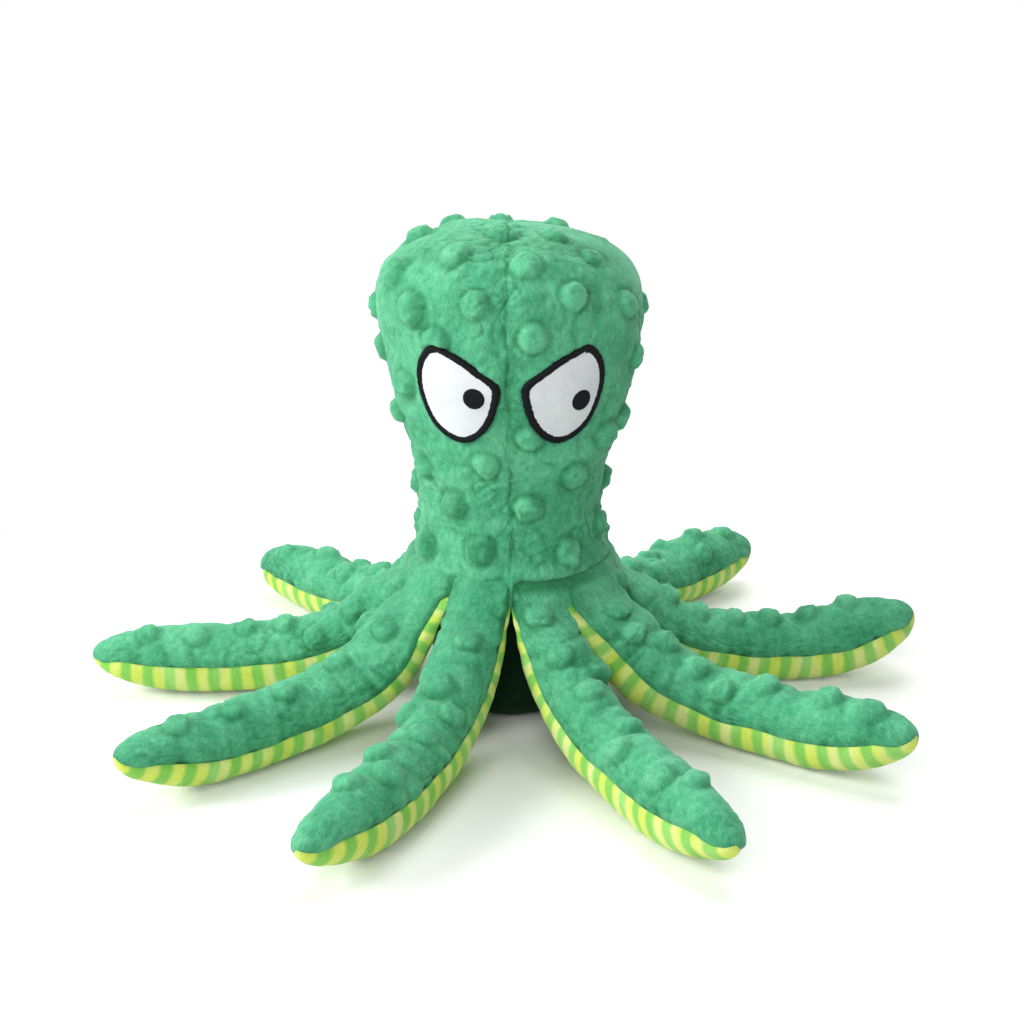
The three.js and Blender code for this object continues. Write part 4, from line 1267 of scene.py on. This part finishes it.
armCloth = {
    "wave": (0.4 * mm, 13 * mm, 12), "leastWave": 0.3, "smallWave": (0.14 * mm, 5.5 * mm, 13),
    "grain": ((0.18 * mm, 3.4 * mm, 14), (0.13 * mm, 1.7 * mm, 15)),
    "bandShare": 0.35, "bandStep": 40 * mm,
    "ripple": {"size": 5 * mm, "width": 0.16, "patch": 17 * mm, "between": (0, 0.5), "seeds": (18, 19)},
    "rippleDepth": 0.45 * mm,
    "crimp": {"size": 2.4 * mm, "width": 0.3, "patch": 11 * mm, "between": (-0.3, 0.3), "seeds": (20, 21)},
    "crimpDepth": 0.32 * mm, "crimpLength": 0.3, "crimpStep": 30 * mm,
    "crimpAway": 4 * mm, "crimpReach": 4.5 * mm, "crimpFrom": (20 * mm, 45 * mm),
    "dotsFromSeam": 3 * mm, "dotsFromWaist": (-1 * mm, 5 * mm),
    "seamPuff": 0.45 * mm, "seamPuffAway": 2.2 * mm, "seamPuffReach": 1.6 * mm,
    "waistPuff": 0.9 * mm, "waistPuffAlong": 4 * mm, "waistPuffReach": 3.5 * mm,
    "toneLumps": (0.3, 3.4 * mm, 14), "dotFrom": 1 * mm,
    # shares of the relief that paint highlight on the crests and shade in the hollows
    "reliefShadingShares": {"wave": 0.6, "fold": 0.5, "gather": 0.35, "stuffing": 0.35},
    "raisedShares": {"dot": 0.25, "dotTone": 0.5},
    "paintedShadeShares": {"dotFootShade": 0.68, "hollow": 0.65, "ripple": 0.3, "crimp": 0.4, "dotTone": 0.4, "most": 0.8},
    "underSwell": (0.5 * mm, 17 * mm, 16), "underGrain": (0.1 * mm, 2.4 * mm, 17),
    "underFolds": 0.5, "underGathers": 0.35,
    "tipFade": 9 * mm, "rootFade": 10 * mm, "thinAtRoot": 6 * mm, "thinAtTip": 3 * mm, "leastAtTip": 0.15,
    # painted shade in the seam groove, under the waist roll, along the sides of the seams and between the
    # arms' roots
    "seamShade": 0.3, "waistShadeRun": (3.2 * mm, -1 * mm), "seamSideShade": 0.3, "seamSideShadeReach": 5 * mm,
    "betweenArmsShade": 0.45, "betweenRun": (22 * mm, 6 * mm), "betweenSides": (0.72, 0.98),
}


def armGrid(line, places, number, isUpper):
    # the fine grid of a panel, and how far each of its points lies from the two seams
    share = crowded(arm["upperColumns"] if isUpper else arm["underColumns"], arm["crowding"])
    along, part = np.meshgrid(armStations(0), share, indexing="ij")
    lowRight, lowLeft = armSeams(along, places, number)
    if isUpper:
        angle = lowRight + (lowLeft - lowRight) * part
    else:
        angle = lowLeft + (lowRight + 2 * np.pi - lowLeft) * part
    place, outward = armSurface(line, along, angle)
    girth = np.linalg.norm(np.diff(place, axis=1), axis=2)
    across = np.concatenate([np.zeros((len(along), 1)), np.cumsum(girth, axis=1)], axis=1)
    back = across[:, -1:] - across
    tipFade = smooth(0, armCloth["tipFade"], arm["length"] - along)
    return {"share": share, "along": along, "angle": angle, "place": place, "outward": outward,
            "across": across, "back": back, "seamGap": np.minimum(across, back),
            "tipFade": tipFade, "bigger": tipFade * smooth(0, armCloth["rootFade"], along)}


def upperRelief(grid, folded, dots, places, number):
    # how far the dotted cloth rises, its "raised" tone, a painted highlight on the crests with the dots'
    # paler tone, and its painted shade
    along, place, seamGap, bigger = grid["along"], grid["place"], grid["seamGap"], grid["bigger"]
    look, shares, raisedShares = armCloth, armCloth["paintedShadeShares"], armCloth["raisedShares"]
    centres, sizes, tones, aheads = dots
    dotHeight, tone, foot = dotLift(place, centres, sizes, tones, dotShape["armEdge"], aheads)
    banded = np.stack([along, grid["angle"] * arm["girth"] * look["bandShare"],
                       0 * along + number * look["bandStep"]], axis=-1)
    waves = (look["leastWave"] + places["folds"]) * layered(banded, [look["wave"]])
    waves = waves + layered(banded, [look["smallWave"]])
    ripple = creases(banded, place, look["ripple"])
    parted = np.stack([along * look["crimpLength"], grid["across"],
                       0 * along + number * look["crimpStep"]], axis=-1)
    crimp = creases(parted, place, look["crimp"]) * smooth(*look["crimpFrom"], along)
    crimp = crimp * hill(seamGap, look["crimpAway"], look["crimpReach"])
    gathered = gathers(along, grid["across"], number, 0) + gathers(along, grid["back"], number, 1)
    folds = crossFolds(along, grid["angle"] - math.radians(places["roll"]), places, number)

    lift = dotHeight * arm["dotHeightShare"] * smooth(0, look["dotsFromSeam"], seamGap)
    lift = lift * smooth(*look["dotsFromWaist"], along) + folded
    lift = lift + (waves - look["rippleDepth"] * ripple * places["folds"] - gathered - folds) * bigger
    lift = lift + layered(place, look["grain"]) - look["crimpDepth"] * crimp + frontKnot(place)
    seamPuff = look["seamPuff"] * hill(seamGap, look["seamPuffAway"], look["seamPuffReach"])
    lift = lift + seamPuff * grid["tipFade"]
    lift = lift + look["waistPuff"] * hill(along, look["waistPuffAlong"], look["waistPuffReach"])

    # painted highlight and shade: crests of the waves and stuffed bulges lighter, folds and gathers darker,
    # with random tone lumps
    relief = look["reliefShadingShares"]["wave"] * waves - look["reliefShadingShares"]["fold"] * folds
    relief = relief - look["reliefShadingShares"]["gather"] * gathered
    relief = (relief / mm + layered(place, [look["toneLumps"]])) * bigger
    relief = relief + look["reliefShadingShares"]["stuffing"] * folded / mm
    raised = raisedShares["dot"] * (dotHeight > look["dotFrom"]) + raisedShares["dotTone"] * tone
    # painted shade at the dots' feet and in the hollows, ripples and crimps, less where the dots' own tone is
    # pale
    sunk = shares["dotFootShade"] * foot + shares["hollow"] * np.maximum(-relief, 0) + shares["ripple"] * ripple
    sunk = sunk + shares["crimp"] * crimp - shares["dotTone"] * tone
    return lift, np.clip(raised + np.maximum(relief, 0), 0, 1), np.clip(sunk, 0, shares["most"])


def underRelief(grid, folded, number):
    along, place = grid["along"], grid["place"]
    gathered = gathers(along, grid["across"], number, 2) + gathers(along, grid["back"], number, 3)
    lift = layered(place, [armCloth["underSwell"]]) - armCloth["underGathers"] * gathered
    return lift * grid["bigger"] + layered(place, [armCloth["underGrain"]]) + armCloth["underFolds"] * folded


def makeArmPanel(number, line, places, folds, foldsEnd, dots):
    # the upper panel where dots are given, or else the under panel
    isUpper, look = dots is not None, armCloth
    grid = armGrid(line, places, number, isUpper)
    along, angle, place, outward = grid["along"], grid["angle"], grid["place"], grid["outward"]
    folded = arm["foldShare"] * places["folds"] * resampled(folds, armStations(0) / foldsEnd, grid["share"])
    if isUpper:
        lift, raised, sunk = upperRelief(grid, folded, dots, places, number)
        # painted shade along the sides of the seams
        sunk = sunk + look["seamSideShade"] * hill(grid["seamGap"], 0, look["seamSideShadeReach"])
    else:
        lift, raised, sunk = underRelief(grid, folded, number), np.zeros(along.shape), 0
    groove = np.exp(-(grid["seamGap"] / arm["seamReach"]) ** 1.4)
    atTip = (arm["length"] - along) / look["thinAtTip"] + look["leastAtTip"]
    thin = np.clip(np.minimum((along + arm["rootTuck"]) / look["thinAtRoot"], atTip), 0, 1)
    depth = arm["seamDepth"] * thin
    outer = place + outward * ((lift - depth * groove) * thin)[..., None]
    inAlong = np.meshgrid(armStations(arm["clothThickness"]), grid["share"], indexing="ij")[0]
    inPlace, inOutward = armSurface(line, inAlong, angle, arm["clothThickness"])
    inner = inPlace - inOutward * (depth * groove * 0.9)[..., None]
    for column in (0, -1):      # both panels of a seam share its line
        outer[:, column] = place[:, column] - outward[:, column] * depth[:, column:][:, :1]
    outer[..., 2] = np.maximum(outer[..., 2], arm["lowestOuter"])
    inner[..., 2] = np.maximum(inner[..., 2], arm["lowestInner"])

    cloth = np.stack([along, grid["across"] - grid["across"][:, -1:] / 2], axis=-1)
    # painted shade under the roll of the waist, in the seam groove and between neighbouring arms near their
    # roots
    waistShade = smooth(*look["waistShadeRun"], along) * waistCrease(np.arctan2(place[..., 0], -place[..., 1]))
    between = smooth(*look["betweenRun"], along) * smooth(*look["betweenSides"], np.abs(np.cos(angle)))
    sunk = sunk + look["seamShade"] * groove + waistShade + look["betweenArmsShade"] * between
    values = {"raised": raised, "sunk": np.clip(sunk, 0, 1)}
    body = f"arm_{number}"
    piece = clothPiece(f"arm{number}{'Upper' if isUpper else 'Under'}Cloth", outer, inner, cloth, values)
    piece.data.materials.append(pile if isUpper else striped)
    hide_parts(f"{body}_upper_panel" if isUpper else f"{body}_under_panel")
    hingeAtRoot(piece)


def makeArmStuffing(number, line, body):
    inset = arm["stuffingInset"]
    stations = armStations(inset)[10::5]
    along, angle = np.meshgrid(stations, np.linspace(0, 2 * np.pi, 33), indexing="ij")
    place, outward = armSurface(line, along, angle, inset)
    lift = arm["stuffingUneven"] * (lumps(place, arm["stuffingLumps"], 31) - 0.6) * smooth(0, 20 * mm, along)
    place = place + outward * lift[..., None]
    ends = [np.repeat(place[row].mean(axis=0)[None], place.shape[1], axis=0) for row in (0, -1)]
    place = np.concatenate([ends[0][None], place, ends[1][None]])
    piece = gridPiece(f"arm{number}Stuffing", place, {})
    piece.data.materials.append(fibreFill)
    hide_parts(f"{body}_filling")
    hingeAtRoot(piece)


def makeArm(number, places):
    line = armLine(places)
    upperFolds, underFolds, foldsEnd = armFolds(line, places, number)
    makeArmPanel(number, line, places, upperFolds, foldsEnd, armDots(line, places, number))
    makeArmPanel(number, line, places, underFolds, foldsEnd, None)
    makeArmStuffing(number, line, f"arm_{number}")


# Base and the stuffing of the body

base = {
    "flatRadius": 17 * mm, "bulgeRadius": 29.8 * mm, "bulgeHeight": 16 * mm,
    "neckRadius": 27.6 * mm, "neckRise": 18 * mm, "bowlRadius": 36.515 * mm, "ballRadius": 34.715 * mm,
    "hem": 1.2 * mm,      # how far its cloth reaches up behind the waist seam
    "swell": ((0.6 * mm, 14 * mm, 51), (0.2 * mm, 3.2 * mm, 52)), "swellFrom": (2 * mm, 8 * mm),
    "sunk": 0.92, "openShare": 0.8, "openTurns": (105, 150),      # painted shade, dark at the front between the arms and lighter at the back, where no arm hides it
    "stuffingInset": 2.2 * mm, "ballGap": 0.6 * mm, "rimDrop": 1.5 * mm, "hollowDrop": 0.4 * mm,
    "stuffingUneven": 0.25 * mm, "stuffingLumps": 7 * mm,
}


def baseOutline(inset, count):
    angle = np.linspace(0, np.pi / 2, count)
    flat, bulge = base["flatRadius"] - inset, base["bulgeRadius"] - inset
    low = np.stack([flat + (bulge - flat) * np.sin(angle),
                    inset + (base["bulgeHeight"] - inset) * (1 - np.cos(angle))], axis=1)
    share = np.linspace(0, 1, count)[1:]
    side = np.stack([ease(bulge, base["neckRadius"] - inset, share),
                     base["bulgeHeight"] + base["neckRise"] * share], axis=1)
    return np.concatenate([low, side])


def bowlOutline(radius, lowRadius, top, count):
    start, end = math.asin(min(lowRadius / radius, 1)), math.acos((pivotHeight - top) / radius)
    angle = np.linspace(start, end, count)
    return np.stack([radius * np.sin(angle), pivotHeight - radius * np.cos(angle)], axis=1)


def makeBase():
    bottom = np.stack([np.linspace(0, base["flatRadius"], 24)[:-1], np.zeros(23)], axis=1)
    waist = head["waistHeight"] + base["hem"]
    bowl = bowlOutline(base["bowlRadius"], base["neckRadius"], waist, 30)[1:]
    outside = np.concatenate([bottom, baseOutline(0, 40), bowl])
    inset = head["thickness"]
    innerBowl = bowlOutline(base["bowlRadius"] - inset, base["neckRadius"] - inset, waist, 30)[1:]
    insideBottom = np.stack([np.linspace(0, base["flatRadius"] - inset, 12)[:-1], np.full(11, inset)], axis=1)
    inside = np.concatenate([insideBottom, baseOutline(inset, 40), innerBowl])
    outline = np.concatenate([outside, inside[::-1]])
    outerRows = len(outside)

    def lift(points):
        swell = layered(points, base["swell"]) * smooth(*base["swellFrom"], points[..., 2])
        swell[outerRows:] = 0
        return swell

    turn = np.abs((np.linspace(0, 360, 181) + 180) % 360 - 180)
    shaded = base["sunk"] - base["openShare"] * smooth(*base["openTurns"], turn)
    piece = turnedPiece("baseCloth", outline, 180, lift, {"raised": 0.0, "sunk": shaded})
    piece.data.materials.append(shadedUnderPile)
    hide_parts("base_panel")
    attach(piece, "base")

    gap = base["stuffingInset"]
    rim = base["neckRadius"] - gap
    hollowRadius = base["ballRadius"] + base["ballGap"]
    rimHeight = pivotHeight - math.sqrt(hollowRadius ** 2 - rim ** 2)
    hollow = bowlOutline(hollowRadius, 0, rimHeight - base["hollowDrop"], 24)[::-1]
    rimPoint = [[rim, rimHeight - base["rimDrop"]]]
    outline = np.concatenate([[[0, gap]], baseOutline(gap, 24)[:-6], rimPoint, hollow])

    def uneven(points):
        return base["stuffingUneven"] * (lumps(points, base["stuffingLumps"], 53) - 1)

    stuffing = turnedPiece("baseStuffing", outline, 72, uneven, {})
    stuffing.data.materials.append(fibreFill)
    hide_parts("base_filling")
    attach(stuffing, "base")
    print("base made")


squeaker = {"radius": 17 * mm, "height": 24 * mm, "rise": 40 * mm, "channel": 3 * mm, "gap": 0.3 * mm}
headStuffing = {
    "inset": 3.4 * mm, "ballGap": 0.4 * mm, "ballTop": 0.5 * mm, "uneven": 0.6 * mm, "lumps": 9 * mm,
}


def makeHeadStuffing():
    inset = headStuffing["inset"]
    heights = np.linspace(pivotHeight, head["waistHeight"] + head["browRise"], 50)
    side = np.stack([headRadiusAt(heights) - inset, heights], axis=1)
    angle = np.linspace(0, np.pi / 2, 40)[1:]
    power = 2 / head["crownSquareness"]
    crown = np.stack([(head["browRadius"] - inset) * np.abs(np.cos(angle)) ** power,
                      heights[-1] + (head["crownRise"] - inset) * np.sin(angle) ** power], axis=1)
    crown[-1, 0] = 0
    ballRadius = base["ballRadius"] - headStuffing["ballGap"]
    ball = bowlOutline(ballRadius, squeaker["channel"], pivotHeight - headStuffing["ballTop"], 40)
    ball[:, 0] = np.minimum(ball[:, 0], side[0, 0])
    bottom = head["waistHeight"] + squeaker["rise"] - squeaker["gap"]
    top = bottom + squeaker["height"] + 2 * squeaker["gap"]
    reach = squeaker["radius"] + squeaker["gap"]
    pocket = np.array([[0, top], [reach * 0.5, top], [reach, top], [reach, (top + bottom) / 2],
                       [reach, bottom], [squeaker["channel"], bottom]])
    outside = np.concatenate([ball, side, crown])
    outline = np.concatenate([pocket, outside])
    pocketRows = len(pocket)

    def lift(points):
        swell = headStuffing["uneven"] * (lumps(points, headStuffing["lumps"], 54) - 0.8)
        swell[:pocketRows + 4] = 0
        return swell

    piece = turnedPiece("headStuffing", outline, 120, lift, {})
    piece.data.materials.append(fibreFill)
    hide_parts("head_filling")
    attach(piece, "head")
    for node, material in (("squeaker_bulb", bulbSkin), ("squeaker_reed", reedPlastic)):
        cad = frame["nodes"][node]
        cad.data.materials.clear()
        cad.data.materials.append(material)
    print("head stuffing made")


# Floor, light and camera

studio = {
    "floorHeight": -0.05 * mm, "floorSize": 6.0, "floorNoise": (30.0, 2.0),
    "floorTones": [(0.3, (0.86, 0.86, 0.855)), (0.7, (0.88, 0.88, 0.875))],
    "floorFinish": {"Roughness": 0.9, "Specular IOR Level": 0.1, "Emission Color": (1, 1, 1, 1)},
    "worldLight": 0.06,
    "lamps": {      # place, watts, size
        "sideLight": ((-1.15, -0.22, 0.66), 14.2, 0.5),
        "frontLight": ((-0.16, -0.94, 0.74), 7.3, 0.7),
        "topLight": ((0.06, 0.2, 1.2), 6.7, 0.7),
        "backLight": ((0.2, 0.9, 0.9), 7.0, 0.8),
    },
    "lampTarget": (0, 0, 0.06),
    "floorGlow": 0.17, "glowBetween": (0.06, 0.15), "whiteBetween": (0.15, 0.31),    # distances from the toy
}
viewer = {
    "x": 0.41 * mm, "y": -522.34 * mm, "z": 245.97 * mm, "tilt": 18.44,
    "focal": 1510.43, "pixels": 1024, "sensor": 36, "clip": (0.01, 20),
}


def cameraRayShare(nodes, links):
    light = nodes.new("ShaderNodeLightPath")
    seen = mathNode(nodes, links, "ADD", light.outputs["Is Camera Ray"], light.outputs["Is Glossy Ray"])
    seen = mathNode(nodes, links, "ADD", seen, light.outputs["Is Transmission Ray"])
    seen.node.use_clamp = True
    return seen


def makeWorld():
    world = bpy.context.scene.world or bpy.data.worlds.new("studio")
    bpy.context.scene.world = world
    world.use_nodes = True
    nodes, links = world.node_tree.nodes, world.node_tree.links
    nodes.clear()
    plain, white = nodes.new("ShaderNodeBackground"), nodes.new("ShaderNodeBackground")
    plain.inputs["Color"].default_value = (1, 1, 1, 1)
    plain.inputs["Strength"].default_value = studio["worldLight"]
    white.inputs["Color"].default_value = (1, 1, 1, 1)
    mix, output = nodes.new("ShaderNodeMixShader"), nodes.new("ShaderNodeOutputWorld")
    links.new(cameraRayShare(nodes, links), mix.inputs["Fac"])
    links.new(plain.outputs[0], mix.inputs[1])
    links.new(white.outputs[0], mix.inputs[2])
    links.new(mix.outputs[0], output.inputs["Surface"])


def makeFloor():
    half = studio["floorSize"] / 2
    mesh = bpy.data.meshes.new("floor")
    corners = [(-half, -half, 0), (half, -half, 0), (half, half, 0), (-half, half, 0)]
    mesh.from_pydata(corners, [], [(0, 1, 2, 3)])
    floor = bpy.data.objects.new("floor", mesh)
    floor.location = (0, 0, studio["floorHeight"])
    bpy.context.scene.collection.objects.link(floor)
    material, nodes, links, shader, place = newMaterial("paleFloor")
    tone = noiseNode(nodes, links, place, *studio["floorNoise"])
    links.new(rampNode(nodes, links, tone, studio["floorTones"]), shader.inputs["Base Color"])
    setFinish(shader, studio["floorFinish"])
    seen = cameraRayShare(nodes, links)
    distance = nodes.new("ShaderNodeVectorMath")
    distance.operation = "LENGTH"
    links.new(place, distance.inputs[0])
    shares = []
    for near, far in (studio["glowBetween"], studio["whiteBetween"]):
        away = nodes.new("ShaderNodeMapRange")
        away.interpolation_type = "SMOOTHSTEP"
        away.inputs["From Min"].default_value = near
        away.inputs["From Max"].default_value = far
        links.new(distance.outputs["Value"], away.inputs["Value"])
        shares.append(mathNode(nodes, links, "MULTIPLY", seen, away.outputs["Result"]))
    glow = mathNode(nodes, links, "MULTIPLY", shares[0], studio["floorGlow"])
    links.new(glow, shader.inputs["Emission Strength"])
    white, mix = nodes.new("ShaderNodeEmission"), nodes.new("ShaderNodeMixShader")
    white.inputs["Color"].default_value = (1, 1, 1, 1)
    links.new(shares[1], mix.inputs["Fac"])
    links.new(shader.outputs[0], mix.inputs[1])
    links.new(white.outputs[0], mix.inputs[2])
    links.new(mix.outputs[0], nodes["Material Output"].inputs["Surface"])
    floor.data.materials.append(material)


def makeStudio():
    makeWorld()
    makeFloor()
    for name, (spot, power, size) in studio["lamps"].items():
        light = bpy.data.lights.new(name, "AREA")
        light.energy, light.size = power, size
        lamp = bpy.data.objects.new(name, light)
        bpy.context.scene.collection.objects.link(lamp)
        lamp.location = spot
        lamp.rotation_mode = "QUATERNION"
        lamp.rotation_quaternion = (Vector(studio["lampTarget"]) - Vector(spot)).to_track_quat("-Z", "Y")

    camera = bpy.data.cameras.new("viewer")
    camera.sensor_width = viewer["sensor"]
    camera.lens = viewer["focal"] / viewer["pixels"] * camera.sensor_width
    camera.clip_start, camera.clip_end = viewer["clip"]
    eyeObject = bpy.data.objects.new("viewer", camera)
    bpy.context.scene.collection.objects.link(eyeObject)
    eyeObject.location = (viewer["x"], viewer["y"], viewer["z"])
    eyeObject.rotation_euler = (math.radians(90 - viewer["tilt"]), 0, 0)
    bpy.context.scene.camera = eyeObject
    bpy.context.scene.view_settings.view_transform = "Standard"
    print("studio made")


makeStudio()
makeHeadPanels()
makeEyes()
makeBase()
makeHeadStuffing()
for number, places in enumerate(armPlaces, 1):
    makeArm(number, {**armUsual, **places})
print("arms made")
